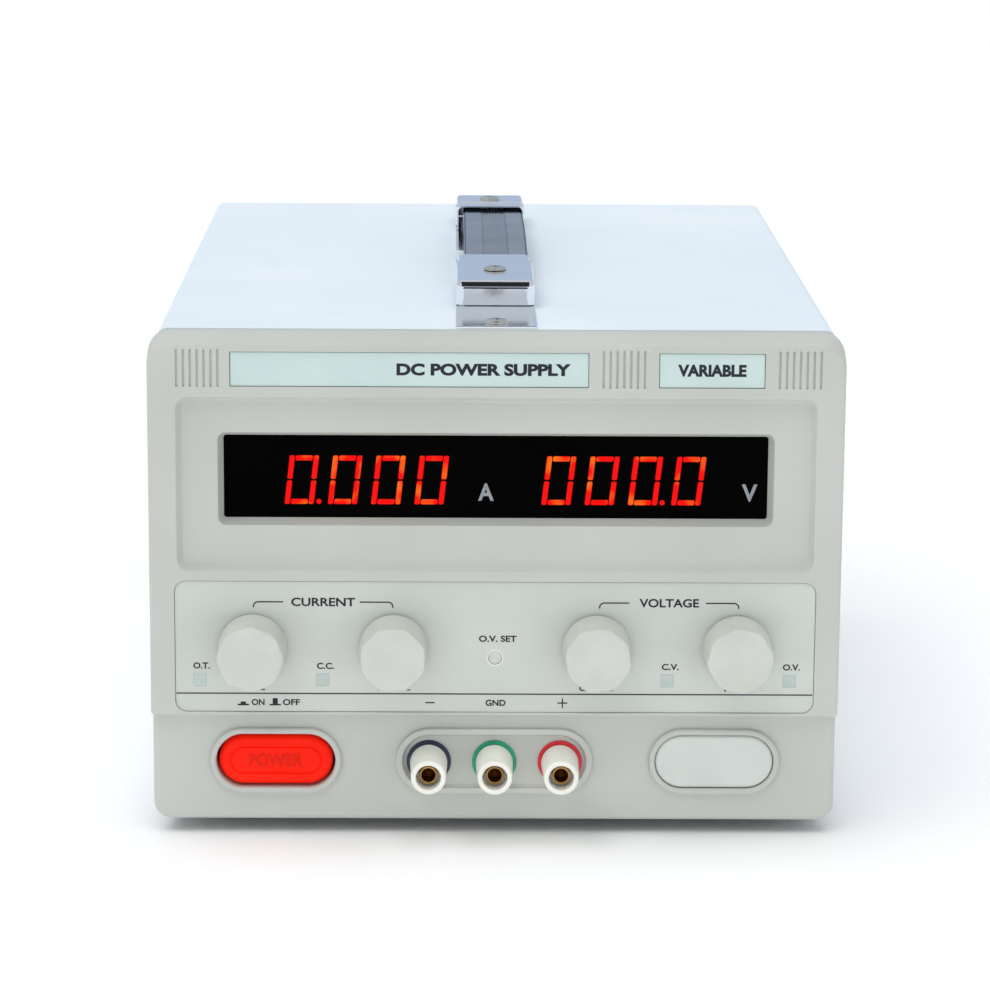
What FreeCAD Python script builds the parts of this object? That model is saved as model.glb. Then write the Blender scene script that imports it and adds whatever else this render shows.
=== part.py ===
import FreeCAD, Part
import math
import os

from FreeCAD import Vector

os.makedirs("parts", exist_ok=True)

# Bench power supply. Millimetres, +Z up, +Y to the back, +X to the right of a user facing the front.
# The origin is at the floor, in the middle of the whole box. Depths are counted from the front plane
# of the bezel and heights from the lower edge of the bezel, with the functions depth() and height().

# Driving dimensions of the case
bezel_width = 265.0
bezel_height = 191.7
case_depth = 372.0
foot_height = 5.5
front_reach = 20.0
rear_reach = 2.4
sheet = 1.0
panel_sheet = 1.2
running_gap = 0.05

# Bezel
upper_bottom = 42.6
lower_setback = 3.5
lower_inset = 0.8
bezel_wall = 3.0
bezel_top_depth = 12.0
bezel_back = 28.0
top_corner = 8.5
bottom_corner = 7.0
top_bevel_height = 4.4
top_bevel_depth = 8.0
lip_inset = 5.2

# Sheet metal case
cover_width = 258.5
cover_corner = 3.5
cover_bottom = 4.0
cover_rise = 0.3
chassis_bottom = 2.0
chassis_flange = 18.0
rear_panel_depth = 368.8
vent_rows = 6
vent_low = 34.0
vent_pitch = 7.0
vent_width = 2.6
vent_length = 34.0
vent_columns = (210.0, 252.0, 294.0)
case_screw_places = ((44.0, 12.0), (196.0, 12.0), (350.0, 12.0))
screw_hole = 2.3
screw_shank = 1.95
screw_head_radius = 3.6
screw_head_height = 2.2
cross_half = 1.9
cross_slot_half = 0.45

# Display
recess_half_width = 121.5
recess_low = 100.3
recess_high = 167.3
recess_corner = 4.3
recess_depth = 3.5
recess_draft = 1.6
window_half_width = 103.8
window_low = 119.5
window_high = 151.0
window_depth = 9.0
window_draft = 2.2
window_thick = 2.5
window_overlap = 4.0
digit_width = 16.4
digit_height = 27.0
digit_thick = 8.0
digit_centre_height = 133.9
digit_rows = ((-75.1, 16.55), (22.7, 16.65))
digits_per_row = 4
board_thick = 1.6

# Name strips and grooves
strip_low = 171.6
strip_high = 185.0
strip_thick = 1.0
strip_recess = 0.6
left_strip = (-101.1, 34.9)
right_strip = (61.4, 101.7)
groove_centres = (-114.5, 48.2, 115.0)
grooves_in_group = 7
groove_pitch = 2.6
groove_width = 0.9
groove_low = 171.5
groove_high = 186.0
groove_depth = 1.0

# Control overlay and knobs
overlay_half_width = 123.0
overlay_low = 44.2
overlay_high = 96.0
overlay_corner = 4.5
overlay_recess = 0.5
overlay_thick = 0.8
knob_places = {"current_fine": -93.0, "current_coarse": -39.0, "voltage_coarse": 39.0, "voltage_fine": 93.0}
knob_height = 69.9
knob_base_radius = 13.25
knob_front_radius = 12.65
knob_back = -0.6
knob_front = -20.0
knob_flats = 8
knob_flat_depth = 1.35
knob_rim = 1.0
knob_hollow_radius = 9.2
knob_hollow_depth = 5.4
shaft_radius = 3.0
shaft_flat = 2.3
bush_radius = 4.5
pot_radius = 8.5
pot_front = 9.0
nut_across_flats = 11.0
control_board_depth = 18.0
indicator_places = (-113.5, -66.3, 66.3, 113.5)
indicator_height = 57.0
indicator_size = 5.0
trimmer_place = (0.0, 65.9)
trimmer_hole = 2.8
trimmer_radius = 2.45
trimmer_front = 0.9
trimmer_slot_half = 0.3
trimmer_half = 4.8
trimmer_body_front = 8.5

# Lower section
ring_width = 50.7
ring_height = 26.0
ring_hole_width = 46.6
ring_hole_height = 21.2
ring_sleeve = 1.0
ring_proud = 2.2
ring_places = (-84.6, 85.2)
ring_centre_height = 24.1
button_width = 44.0
button_height = 19.4
button_front = 3.0
button_back = 11.0
stem_half = 4.0
switch_front = 16.0
plug_width = 46.4
plug_height = 21.0
surround_width = 76.0
surround_height = 26.0
surround_hole_width = 71.8
surround_hole_height = 20.5
surround_slope = 1.9
surround_floor = 3.3
surround_wall = 1.1
ring_seat_radius = 8.7
ring_seat_depth = 6.0
surround_back = 9.0
button_groove = (35.5, 9.5)
button_groove_width = 0.6
switch_half = 12.0
switch_length = 26.0
switch_tab_half = 27.0
post_pitch = 25.4
post_height = 23.5
post_names = ("negative", "ground", "positive")
post_ring_radius = 8.6
post_ring_front = 3.0
stud_radius = 3.5
socket_radius = 2.02
socket_length = 18.0
stud_front = -15.0
stud_back = 24.0
washer_radius = 6.0
washer_thick = 0.8
cap_base_radius = 7.25
cap_front_radius = 6.65
cap_front = -19.0
cap_recess_radius = 4.7
cap_recess_depth = 4.3

# Carrying handle on the top cover, with depths from the front plane
handle_width = 31.0
plate_thick = 1.0
front_foot_start = 12.8
front_wall = 61.5
front_mouth = 126.0
rear_mouth = 274.0
rear_wall = 322.0
rear_foot_end = 368.0
cap_wall_height = 11.0
cap_mouth_height = 12.4
cap_step = 15.0
cap_step_inset = 0.8
cap_round = 1.6
tongue_gap = 22.0
strap_width = 26.4
strap_offset = 1.0
strap_thick = 4.0
strap_low = 5.0
strap_pivot_inside = 4.0
strap_stub = 14.0
strap_rise = 3.6
strap_joint_gap = 1.4
front_screw = 21.0
front_cap_screw = 87.0
rear_cap_screw = 300.0
rear_screw = 358.0
handle_screw_places = (front_screw, front_cap_screw, rear_cap_screw, rear_screw)

# Feet
foot_x = 108.0
foot_depths = (34.0, 340.0)
foot_radius = 9.0
foot_taper = 1.2
foot_recess_radius = 4.6
foot_recess_depth = 3.5
foot_head_radius = 3.8
foot_head_start = 1.2

# Inside
board_height = 14.0
board_half_width = 112.0
board_start = 60.0
board_end = 330.0
core_x = (-104.0, -24.0)
core_depths = (90.0, 140.0)
core_rise = 66.0
core_leg = 13.3
core_window = 13.7
coil_overhang = 12.0
coil_gap = 0.3
heatsink_places = (-96.0, 60.0)
heatsink_depths = (190.0, 310.0)
heatsink_rise = 90.0
heatsink_base = 4.0
heatsink_reach = 30.0
heatsink_fins = 7
heatsink_fin = 2.2
heatsink_fin_pitch = 12.5
capacitor_radius = 15.0
capacitor_rise = 45.0
capacitor_places = ((12.0, 90.0), (12.0, 130.0), (50.0, 90.0), (50.0, 130.0))

# Rear side
fan_x = 62.0
fan_z = 118.0
fan_size = 80.0
fan_thick = 25.0
fan_bore = 38.0
fan_hub = 17.0
fan_blades = 7
fan_blade_thick = 2.0
fan_blade_angle = 38.0
fan_tip_gap = 1.2
fan_strut = 3.0
fan_hub_plate = 4.0
fan_pin_radius = 1.5
fan_rotor_start = 5.0
fan_rotor_length = 18.0
fan_pin_reach = 14.0
fan_hole_pitch = 71.5
fan_hole_radius = 2.2
guard_wire = 1.8
guard_rings = (14.0, 22.0, 30.0, 38.0)
guard_hub = 6.0
guard_eye = 4.0
inlet_x = -84.0
inlet_z = 52.0
inlet_width = 27.6
inlet_height = 40.0
inlet_flange_width = 50.0
inlet_flange_height = 45.0
inlet_flange = 2.4
inlet_depth = 26.0
socket_width = 24.2
socket_height = 16.4
socket_depth = 17.5
socket_corner_cut = 4.2
socket_drop = 7.0
flange_screw_x = 20.0
flange_screw_hole = 1.7
pin_length = 12.5
drawer_width = 19.0
drawer_height = 9.0
drawer_depth = 24.0
drawer_rise = 13.2
drawer_gap = 0.25
drawer_wall = 0.8
fuse_inset = 7.0
fuse_lift = 0.4
fuse_radius = 2.6
fuse_seat_radius = 2.9

y_front = -(case_depth + rear_reach - front_reach) / 2.0
x_axis = Vector(1, 0, 0)
y_axis = Vector(0, 1, 0)
z_axis = Vector(0, 0, 1)


def depth(t):
    return y_front + t


def height(h):
    return foot_height + h


def box(x0, x1, t0, t1, h0, h1):
    return Part.makeBox(x1 - x0, t1 - t0, h1 - h0, Vector(x0, depth(t0), height(h0)))


def rod(x, h, radius, t0, t1):
    """A cylinder along Y."""
    return Part.makeCylinder(radius, t1 - t0, Vector(x, depth(t0), height(h)), y_axis)


def post(x, t, radius, h0, h1):
    """A cylinder along Z."""
    return Part.makeCylinder(radius, h1 - h0, Vector(x, depth(t), height(h0)), z_axis)


def side_rod(t, h, radius, x0, x1):
    """A cylinder along X."""
    return Part.makeCylinder(radius, x1 - x0, Vector(x0, depth(t), height(h)), x_axis)


def taper(x, h, r0, r1, t0, t1):
    """A cone along Y, radius r0 at depth t0 and r1 at depth t1."""
    return Part.makeCone(r0, r1, t1 - t0, Vector(x, depth(t0), height(h)), y_axis)


def rounded_wire(x0, x1, h0, h1, radii, t):
    """A rectangle seen from the front, its corners rounded: top left, top right, bottom right, bottom left."""
    y = depth(t)
    low, high = height(h0), height(h1)
    corners = ((x0, high, 1, -1), (x1, high, -1, -1), (x1, low, -1, 1), (x0, low, 1, 1))
    starts, middles, ends = [], [], []
    for index, (x, z, inward_x, inward_z) in enumerate(corners):
        radius = radii[index]
        along_x = Vector(x + inward_x * radius, y, z)
        along_z = Vector(x, y, z + inward_z * radius)
        slack = radius * (1 - math.sqrt(0.5))
        middles.append(Vector(x + inward_x * slack, y, z + inward_z * slack))
        first, last = (along_z, along_x) if index in (0, 2) else (along_x, along_z)
        starts.append(first)
        ends.append(last)
    edges = []
    for index in range(4):
        edges.append(Part.Arc(starts[index], middles[index], ends[index]).toShape())
        after = starts[(index + 1) % 4]
        if ends[index].distanceToPoint(after) > 1e-6:
            edges.append(Part.LineSegment(ends[index], after).toShape())
    return Part.Wire(edges)


def rounded_block(x0, x1, h0, h1, radius, t0, t1):
    radii = radius if isinstance(radius, tuple) else (radius,) * 4
    face = Part.Face(rounded_wire(x0, x1, h0, h1, radii, t0))
    return face.extrude(Vector(0, t1 - t0, 0))


def oval(x, h, width, tall, t0, t1):
    """A block with full round ends."""
    half = width / 2
    return rounded_block(x - half, x + half, h - tall / 2, h + tall / 2, tall / 2, t0, t1)


def drafted_hole(x0, x1, h0, h1, radius, t0, t1, draft):
    """A hole whose walls lean in by draft from depth t0 to depth t1."""
    outer = rounded_wire(x0 - draft, x1 + draft, h0 - draft, h1 + draft, (radius + draft,) * 4, t0)
    inner = rounded_wire(x0, x1, h0, h1, (radius,) * 4, t1)
    return Part.makeLoft([outer, inner], True, True)


def hexagon(x, h, across_flats, t0, t1):
    corner = across_flats / math.sqrt(3)
    points = []
    for step in range(7):
        angle = math.radians(60 * step)
        points.append(Vector(x + corner * math.cos(angle), depth(t0), height(h) + corner * math.sin(angle)))
    return Part.Face(Part.makePolygon(points)).extrude(Vector(0, t1 - t0, 0))


def prism_along_x(outline, x0, x1):
    """A block whose side view is a list of (depth, height) points."""
    points = [Vector(x0, depth(t), height(h)) for t, h in outline]
    points.append(points[0])
    return Part.Face(Part.makePolygon(points)).extrude(Vector(x1 - x0, 0, 0))


def screw_on_top(x, t, h, head_radius, head_height, shank_radius, shank_length):
    """A pan head screw driven down, with a cross recess; h is the surface under the head."""
    head = post(x, t, head_radius, h, h + head_height)
    crown = [edge for edge in head.Edges if edge.BoundBox.ZMin > height(h + head_height) - 1e-6]
    head = head.makeFillet(head_height * 0.55, crown)
    recess_top = h + head_height
    arm = head_radius * 0.5
    slot = cross_slot_half
    low = recess_top - head_height * 0.45
    cross = box(x - arm, x + arm, t - slot, t + slot, low, recess_top + 1)
    cross = cross.fuse(box(x - slot, x + slot, t - arm, t + arm, low, recess_top + 1))
    return head.cut(cross).fuse(post(x, t, shank_radius, h - shank_length, h)).removeSplitter()


def turned(shape, about, axis, angle):
    copy = shape.copy()
    copy.rotate(about, axis, angle)
    return copy


# ---------------------------------------------------------------- front


def make_front_bezel():
    half = bezel_width / 2
    upper_radii = (top_corner, top_corner, 1.5, 1.5)
    upper = rounded_block(-half, half, upper_bottom, bezel_height, upper_radii, 0, bezel_top_depth)
    upper = soften_upper(upper)
    lower_half = half - lower_inset
    lower_radii = (0.5, 0.5, bottom_corner, bottom_corner)
    lower = rounded_block(-lower_half, lower_half, 0, upper_bottom, lower_radii, lower_setback, bezel_top_depth)
    front_edges = [edge for edge in lower.Edges if edge.BoundBox.YMax < depth(lower_setback) + 1e-6]
    front_edges = [edge for edge in front_edges if edge.BoundBox.ZMax < height(upper_bottom - 1)]
    lower = lower.makeFillet(2.0, front_edges)
    shell = upper.fuse(lower)
    lip = rounded_block(-half + lip_inset, half - lip_inset, chassis_bottom + 3.2, bezel_height - 2.2, 3.0,
                        bezel_top_depth, bezel_back)
    shell = shell.fuse(lip)
    shell = shell.cut(inner_space())
    shell = shell.fuse(display_frame())
    shell = shell.fuse(box(-overlay_half_width, overlay_half_width, overlay_recess + overlay_thick,
                           bezel_wall + 1.0, overlay_low, overlay_high))
    lower_wall = box(-lower_half + 6, lower_half - 6, lower_setback, surround_back - 0.5, 8, upper_bottom)
    shell = shell.fuse(lower_wall)
    for tool in bezel_cutters():
        shell = shell.cut(tool)
    return shell.removeSplitter()


def soften_upper(block):
    """The long slope along the top edge and the small rounds on the other edges."""
    top = bezel_height
    slope = prism_along_x(((-1, top + 1), (top_bevel_depth, top + 1), (top_bevel_depth, top),
                           (0, top - top_bevel_height), (-1, top - top_bevel_height)),
                          -bezel_width, bezel_width)
    side_edges = []
    for edge in block.Edges:
        if edge.BoundBox.YMax < depth(0) + 1e-6 and edge.BoundBox.ZMax < height(top - 1e-3):
            side_edges.append(edge)
    return block.makeFillet(1.2, side_edges).cut(slope)


def inner_space():
    half = bezel_width / 2
    wide = half - lip_inset - 2.4
    behind_front = box(-half + 4, half - 4, bezel_wall, bezel_top_depth - 1.5, upper_bottom + 2,
                       bezel_height - top_bevel_height - 2.5)
    behind_lower = box(-half + 5, half - 5, lower_setback + bezel_wall, bezel_top_depth - 1.5, 8, upper_bottom + 2)
    lip_space = rounded_block(-wide, wide, chassis_bottom + 5.6, bezel_height - 5.0, 2.0, bezel_wall + 4,
                              bezel_back + 1)
    return behind_front.fuse(behind_lower).fuse(lip_space)


def display_frame():
    margin = 4.0
    plate = box(-recess_half_width - margin, recess_half_width + margin, bezel_wall - 0.5,
                recess_depth + bezel_wall, recess_low - margin, recess_high + margin)
    tube_margin = window_draft + 2.5
    tube = box(-window_half_width - tube_margin, window_half_width + tube_margin, recess_depth,
               window_depth, window_low - tube_margin, window_high + tube_margin)
    return plate.fuse(tube)


def bezel_cutters():
    cutters = [
        drafted_hole(-recess_half_width + recess_draft, recess_half_width - recess_draft,
                     recess_low + recess_draft, recess_high - recess_draft, recess_corner - recess_draft,
                     0, recess_depth, recess_draft),
        drafted_hole(-window_half_width, window_half_width, window_low, window_high, 1.0,
                     recess_depth, window_depth, window_draft),
        rounded_block(-overlay_half_width, overlay_half_width, overlay_low, overlay_high, overlay_corner,
                      -1, overlay_recess + overlay_thick),
    ]
    for low, high in (left_strip, right_strip):
        cutters.append(box(low, high, -1, strip_recess + strip_thick, strip_low, strip_high))
    for centre in groove_centres:
        for index in range(grooves_in_group):
            x = centre + (index - (grooves_in_group - 1) / 2) * groove_pitch
            half = groove_width / 2
            cutters.append(rounded_block(x - half, x + half, groove_low, groove_high, half - 0.01, -1,
                                         groove_depth))
    for x in knob_places.values():
        cutters.append(rod(x, knob_height, bush_radius + 0.3, -1, bezel_back))
    cutters.append(rod(trimmer_place[0], trimmer_place[1], trimmer_hole, -1, bezel_back))
    for x in indicator_places:
        half = indicator_size / 2 + 0.1
        cutters.append(box(x - half, x + half, 0, bezel_back, indicator_height - half, indicator_height + half))
    for x in ring_places:
        cutters.append(oval(x, ring_centre_height, ring_hole_width + 2 * ring_sleeve + 0.2,
                            ring_hole_height + 2 * ring_sleeve + 0.2, 0, bezel_back))
    clearance = 2 * surround_wall + 0.2
    cutters.append(oval(0, ring_centre_height, surround_hole_width + clearance, surround_hole_height + clearance, 0,
                        bezel_back))
    cutters.append(post(0, front_screw, screw_hole, bezel_height - 8, bezel_height))
    return cutters


def make_display_window():
    wide = window_half_width + window_overlap
    return rounded_block(-wide, wide, window_low - window_overlap, window_high + window_overlap, 2.0,
                         window_depth, window_depth + window_thick)


def make_name_strip(limits):
    low, high = limits
    gap = 0.1
    return box(low + gap, high - gap, strip_recess, strip_recess + strip_thick, strip_low + gap, strip_high - gap)


def make_control_overlay():
    gap = 0.15
    panel = rounded_block(-overlay_half_width + gap, overlay_half_width - gap, overlay_low + gap,
                          overlay_high - gap, overlay_corner - gap, overlay_recess,
                          overlay_recess + overlay_thick)
    for x in knob_places.values():
        panel = panel.cut(rod(x, knob_height, bush_radius + 0.2, -1, 4))
    panel = panel.cut(rod(trimmer_place[0], trimmer_place[1], trimmer_hole + 0.2, -1, 4))
    for x in indicator_places:
        half = indicator_size / 2 + 0.05
        panel = panel.cut(box(x - half, x + half, -1, 4, indicator_height - half, indicator_height + half))
    return panel


def make_indicator_windows():
    half = indicator_size / 2
    return [box(x - half, x + half, overlay_recess, control_board_depth, indicator_height - half,
                indicator_height + half) for x in indicator_places]


# ---------------------------------------------------------------- controls


def make_knob(x):
    """Tapered knob with shallow flats that fade in towards the front, hollow behind, on a D shaft."""
    body = taper(x, knob_height, knob_front_radius, knob_base_radius, knob_front, knob_back)
    rim = [edge for edge in body.Edges if edge.BoundBox.YMax < depth(knob_front) + 1e-6]
    body = body.makeFillet(knob_rim, rim)
    flat_distance = knob_base_radius - knob_flat_depth
    for index in range(knob_flats):
        angle = 360.0 * (index + 0.5) / knob_flats
        cutter = prism_along_x(((knob_front - 1, knob_height + flat_distance - 0.2),
                                (knob_front - 1, knob_height + 20),
                                (knob_back - 3, knob_height + 20),
                                (knob_back - 3, knob_height + knob_base_radius + 0.3)), x - 12, x + 12)
        body = body.cut(turned(cutter, Vector(x, 0, height(knob_height)), y_axis, angle))
    body = body.cut(rod(x, knob_height, knob_hollow_radius, knob_back - knob_hollow_depth, knob_back + 1))
    body = body.cut(d_section(x, shaft_radius + running_gap, shaft_flat + running_gap, knob_front + 5, knob_back))
    return body


def d_section(x, radius, flat, t0, t1):
    bar = rod(x, knob_height, radius, t0, t1)
    above = knob_height + radius + 1
    return bar.cut(box(x - radius - 1, x + radius + 1, t0 - 1, t1 + 1, knob_height + flat, above))


def make_knob_shaft(x):
    front = d_section(x, shaft_radius, shaft_flat, knob_front + 5.2, -4.5)
    return front.fuse(rod(x, knob_height, shaft_radius, -4.5, pot_front + 6)).removeSplitter()


def make_potentiometer(x):
    body = rod(x, knob_height, pot_radius, pot_front, control_board_depth)
    body = body.fuse(rod(x, knob_height, bush_radius, -4.0, pot_front))
    return body.cut(rod(x, knob_height, shaft_radius + running_gap, -5, pot_front + 6.3)).removeSplitter()


def make_pot_nut(x):
    nut = hexagon(x, knob_height, nut_across_flats, overlay_recess - 2.0, overlay_recess)
    return nut.cut(rod(x, knob_height, bush_radius + running_gap, -5, 4))


def make_trimmer_screw():
    x, h = trimmer_place
    screw = rod(x, h, trimmer_radius, trimmer_front, trimmer_body_front + 3.5)
    return screw.cut(box(x - trimmer_radius - 1, x + trimmer_radius + 1, trimmer_front - 1, trimmer_front + 1,
                         h - trimmer_slot_half, h + trimmer_slot_half))


def make_trimmer_body():
    x, h = trimmer_place
    body = box(x - trimmer_half, x + trimmer_half, trimmer_body_front, control_board_depth, h - trimmer_half,
               h + trimmer_half)
    return body.cut(rod(x, h, trimmer_radius + running_gap, trimmer_body_front - 1, trimmer_body_front + 3.9))


def make_control_board():
    return box(-119, 119, control_board_depth, control_board_depth + board_thick, upper_bottom + 4, 94)


def make_display_board():
    front = window_depth + window_thick + digit_thick + 0.6
    return box(-112, 112, front, front + board_thick, 108, 164)


def make_digit_modules():
    modules = []
    front = window_depth + window_thick + 0.6
    for start, pitch in digit_rows:
        for index in range(digits_per_row):
            x = start + index * pitch
            modules.append(box(x - digit_width / 2, x + digit_width / 2, front, front + digit_thick,
                               digit_centre_height - digit_height / 2, digit_centre_height + digit_height / 2))
    return modules


# ---------------------------------------------------------------- lower section


def make_oval_ring(x):
    front = lower_setback - ring_proud
    flange = oval(x, ring_centre_height, ring_width, ring_height, front, lower_setback)
    outer = [edge for edge in flange.Edges if edge.BoundBox.YMax < depth(front) + 1e-6]
    flange = flange.makeFillet(1.0, outer)
    sleeve = oval(x, ring_centre_height, ring_hole_width + 2 * ring_sleeve, ring_hole_height + 2 * ring_sleeve,
                  lower_setback, 12.0)
    hole = oval(x, ring_centre_height, ring_hole_width, ring_hole_height, 0, 13.0)
    return flange.fuse(sleeve).cut(hole).removeSplitter()


def make_power_button():
    x = ring_places[0]
    body = oval(x, ring_centre_height, button_width, button_height, button_front, button_back)
    rim = [edge for edge in body.Edges if edge.BoundBox.YMax < depth(button_front) + 1e-6]
    body = body.makeFillet(1.2, rim)
    wide, tall = button_groove
    outer = oval(x, ring_centre_height, wide, tall, button_front - 1, button_front + 0.4)
    inner = oval(x, ring_centre_height, wide - 2 * button_groove_width, tall - 2 * button_groove_width,
                 button_front - 1, button_front + 1)
    body = body.cut(outer.cut(inner))
    stem = box(x - stem_half, x + stem_half, button_back, switch_front + 8, ring_centre_height - stem_half,
               ring_centre_height + stem_half)
    return body.fuse(stem).removeSplitter()


def make_power_switch():
    x = ring_places[0]
    gap = stem_half + 0.3
    body = box(x - switch_half, x + switch_half, switch_front, switch_front + switch_length,
               ring_centre_height - switch_half + 1, ring_centre_height + switch_half - 1)
    hole = box(x - gap, x + gap, switch_front - 1, switch_front + 12, ring_centre_height - gap,
               ring_centre_height + gap)
    tab_front = switch_front - 1.6
    tabs = box(x - switch_tab_half, x + switch_tab_half, tab_front, switch_front, ring_centre_height - 9,
               ring_centre_height + 9)
    mouth = box(x - gap, x + gap, tab_front - 1, switch_front, ring_centre_height - gap, ring_centre_height + gap)
    return body.fuse(tabs).cut(hole).cut(mouth).removeSplitter()


def make_blank_plug():
    x = ring_places[1]
    body = oval(x, ring_centre_height, plug_width, plug_height, 2.0, 10.0)
    rim = [edge for edge in body.Edges if edge.BoundBox.YMax < depth(2.0) + 1e-6]
    return body.makeFillet(1.5, rim)


def make_terminal_surround():
    """Oval tray: a rounded flange, a sloping wall and a floor with a seat for each coloured ring."""
    front = lower_setback - ring_proud
    wide, tall = surround_hole_width / 2, surround_hole_height / 2
    flange = oval(0, ring_centre_height, surround_width, surround_height, front, lower_setback)
    rim = [edge for edge in flange.Edges if edge.BoundBox.YMax < depth(front) + 1e-6]
    flange = flange.makeFillet(1.0, rim)
    tub = oval(0, ring_centre_height, 2 * (wide + surround_wall), 2 * (tall + surround_wall), lower_setback,
               surround_back)
    slope = surround_slope
    tray = drafted_hole(-wide + slope, wide - slope, ring_centre_height - tall + slope,
                        ring_centre_height + tall - slope, tall - slope, front, surround_floor, slope)
    body = flange.fuse(tub).cut(tray)
    for index in range(3):
        body = body.cut(rod(post_x(index), post_height, ring_seat_radius, 0, ring_seat_depth))
        body = body.cut(rod(post_x(index), post_height, stud_radius + 0.1, 0, 12))
    return body.removeSplitter()


def post_x(index):
    return (index - 1) * post_pitch


def make_post_ring(index):
    """Coloured insulating base of a binding post."""
    x = post_x(index)
    ring = rod(x, post_height, post_ring_radius, post_ring_front, ring_seat_depth)
    rim = [edge for edge in ring.Edges if edge.BoundBox.YMax < depth(post_ring_front) + 1e-6]
    ring = ring.makeFillet(0.8, rim)
    return ring.cut(rod(x, post_height, stud_radius + running_gap, 0, 12))


def make_post_stud(index):
    """Threaded brass stud; its front end is a 4 mm socket."""
    x = post_x(index)
    stud = rod(x, post_height, stud_radius, stud_front, stud_back)
    return stud.cut(rod(x, post_height, socket_radius, stud_front - 1, stud_front + socket_length))


def make_post_nut(index):
    x = post_x(index)
    nut = hexagon(x, post_height, nut_across_flats, surround_back, surround_back + 4.0)
    return nut.cut(rod(x, post_height, stud_radius + running_gap, surround_back - 1, surround_back + 5.0))


def make_clamp_washer(index):
    x = post_x(index)
    washer = rod(x, post_height, washer_radius, post_ring_front - washer_thick, post_ring_front)
    return washer.cut(rod(x, post_height, stud_radius + running_gap, 0, 12))


def make_post_cap(index):
    x = post_x(index)
    back = post_ring_front - washer_thick
    cap = taper(x, post_height, cap_front_radius, cap_base_radius, cap_front, back)
    rim = [edge for edge in cap.Edges if edge.BoundBox.YMax < depth(cap_front) + 1e-6]
    cap = cap.makeFillet(0.9, rim)
    cap = cap.cut(rod(x, post_height, stud_radius + running_gap, cap_front - 1, back + 1))
    return cap.cut(rod(x, post_height, cap_recess_radius, cap_front - 1, cap_front + cap_recess_depth))


# ---------------------------------------------------------------- case


def make_top_cover():
    """Inverted U of painted sheet, with inlet slots low on each side."""
    half = cover_width / 2
    top = bezel_height + cover_rise
    start = bezel_top_depth + 0.6
    outer = rounded_block(-half, half, cover_bottom, top, (cover_corner, cover_corner, 0.01, 0.01), start,
                          case_depth)
    inner_corner = cover_corner - sheet
    inner = rounded_block(-half + sheet, half - sheet, cover_bottom - 1, top - sheet,
                          (inner_corner, inner_corner, 0.01, 0.01), start - 1, case_depth + 1)
    cover = outer.cut(inner)
    for t, h in case_screw_places:
        cover = cover.cut(side_rod(t, h, 2.1, -half - 5, half + 5))
    for t in handle_screw_places:
        cover = cover.cut(post(0, t, screw_hole, top - 3, top + 3))
    for row in range(vent_rows):
        h = vent_low + row * vent_pitch
        for start_t in vent_columns:
            cover = cover.cut(box(-half - 1, half + 1, start_t, start_t + vent_length, h, h + vent_width))
    return cover.removeSplitter()


def make_bottom_chassis():
    """Bottom pan with two side flanges inside the cover and four board pillars."""
    half = cover_width / 2 - sheet - 0.15
    low = chassis_bottom
    front = bezel_top_depth + 0.2
    back = rear_panel_depth
    pan = box(-half, half, front, back, low, low + panel_sheet)
    for side in (-1, 1):
        edge = side * half
        inner = edge - side * panel_sheet
        flange = box(min(edge, inner), max(edge, inner), bezel_back + 1, back, low, low + chassis_flange)
        pan = pan.fuse(flange)
    for x, t in board_pillars():
        pan = pan.fuse(post(x, t, 4.0, low, board_height))
    for t, h in case_screw_places:
        pan = pan.cut(side_rod(t, h, 2.1, -half - 5, half + 5))
    for x, t in foot_places():
        pan = pan.cut(post(x, t, screw_hole, low - 1, low + 3))
    return pan.removeSplitter()


def board_pillars():
    inset = 8.0
    return [(x, t) for x in (inset - board_half_width, board_half_width - inset)
            for t in (board_start + inset, board_end - inset)]


def make_main_board():
    half = board_half_width
    return box(-half, half, board_start, board_end, board_height, board_height + board_thick)


def make_rear_panel():
    half = cover_width / 2 - sheet - 0.2
    top = bezel_height + cover_rise - sheet - 0.2
    panel = rounded_block(-half, half, chassis_bottom, top, (2.0, 2.0, 0.5, 0.5), rear_panel_depth,
                          rear_panel_depth + panel_sheet)
    panel = panel.cut(rod(fan_x, fan_z, fan_bore, rear_panel_depth - 1, rear_panel_depth + 3))
    for x, h in fan_holes():
        panel = panel.cut(rod(x, h, fan_hole_radius, rear_panel_depth - 1, rear_panel_depth + 3))
    panel = panel.cut(box(inlet_x - inlet_width / 2 - 0.2, inlet_x + inlet_width / 2 + 0.2, rear_panel_depth - 1,
                          rear_panel_depth + 3, inlet_z - inlet_height / 2 - 0.2, inlet_z + inlet_height / 2 + 0.2))
    return panel


def side_block(x0, x1, t, half_t, h, half_h):
    """A block between two places across, in either order, centred at a depth and a height."""
    return box(min(x0, x1), max(x0, x1), t - half_t, t + half_t, h - half_h, h + half_h)


def make_cover_screws():
    """Six side screws of the cover."""
    half = cover_width / 2
    screws = []
    for t, h in case_screw_places:
        for side in (-1, 1):
            seat = side * half
            face = side * (half + screw_head_height)
            tip = side * (half - 6.0)
            head = side_rod(t, h, screw_head_radius, min(seat, face), max(seat, face))
            shank = side_rod(t, h, screw_shank, min(tip, seat), max(tip, seat))
            deep = face - side * 1.2
            out = face + side * 0.01
            cross = side_block(deep, out, t, cross_half, h, cross_slot_half)
            cross = cross.fuse(side_block(deep, out, t, cross_slot_half, h, cross_half))
            screws.append(head.fuse(shank).cut(cross).removeSplitter())
    return screws


def foot_places():
    return [(x, t) for x in (-foot_x, foot_x) for t in foot_depths]


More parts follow.
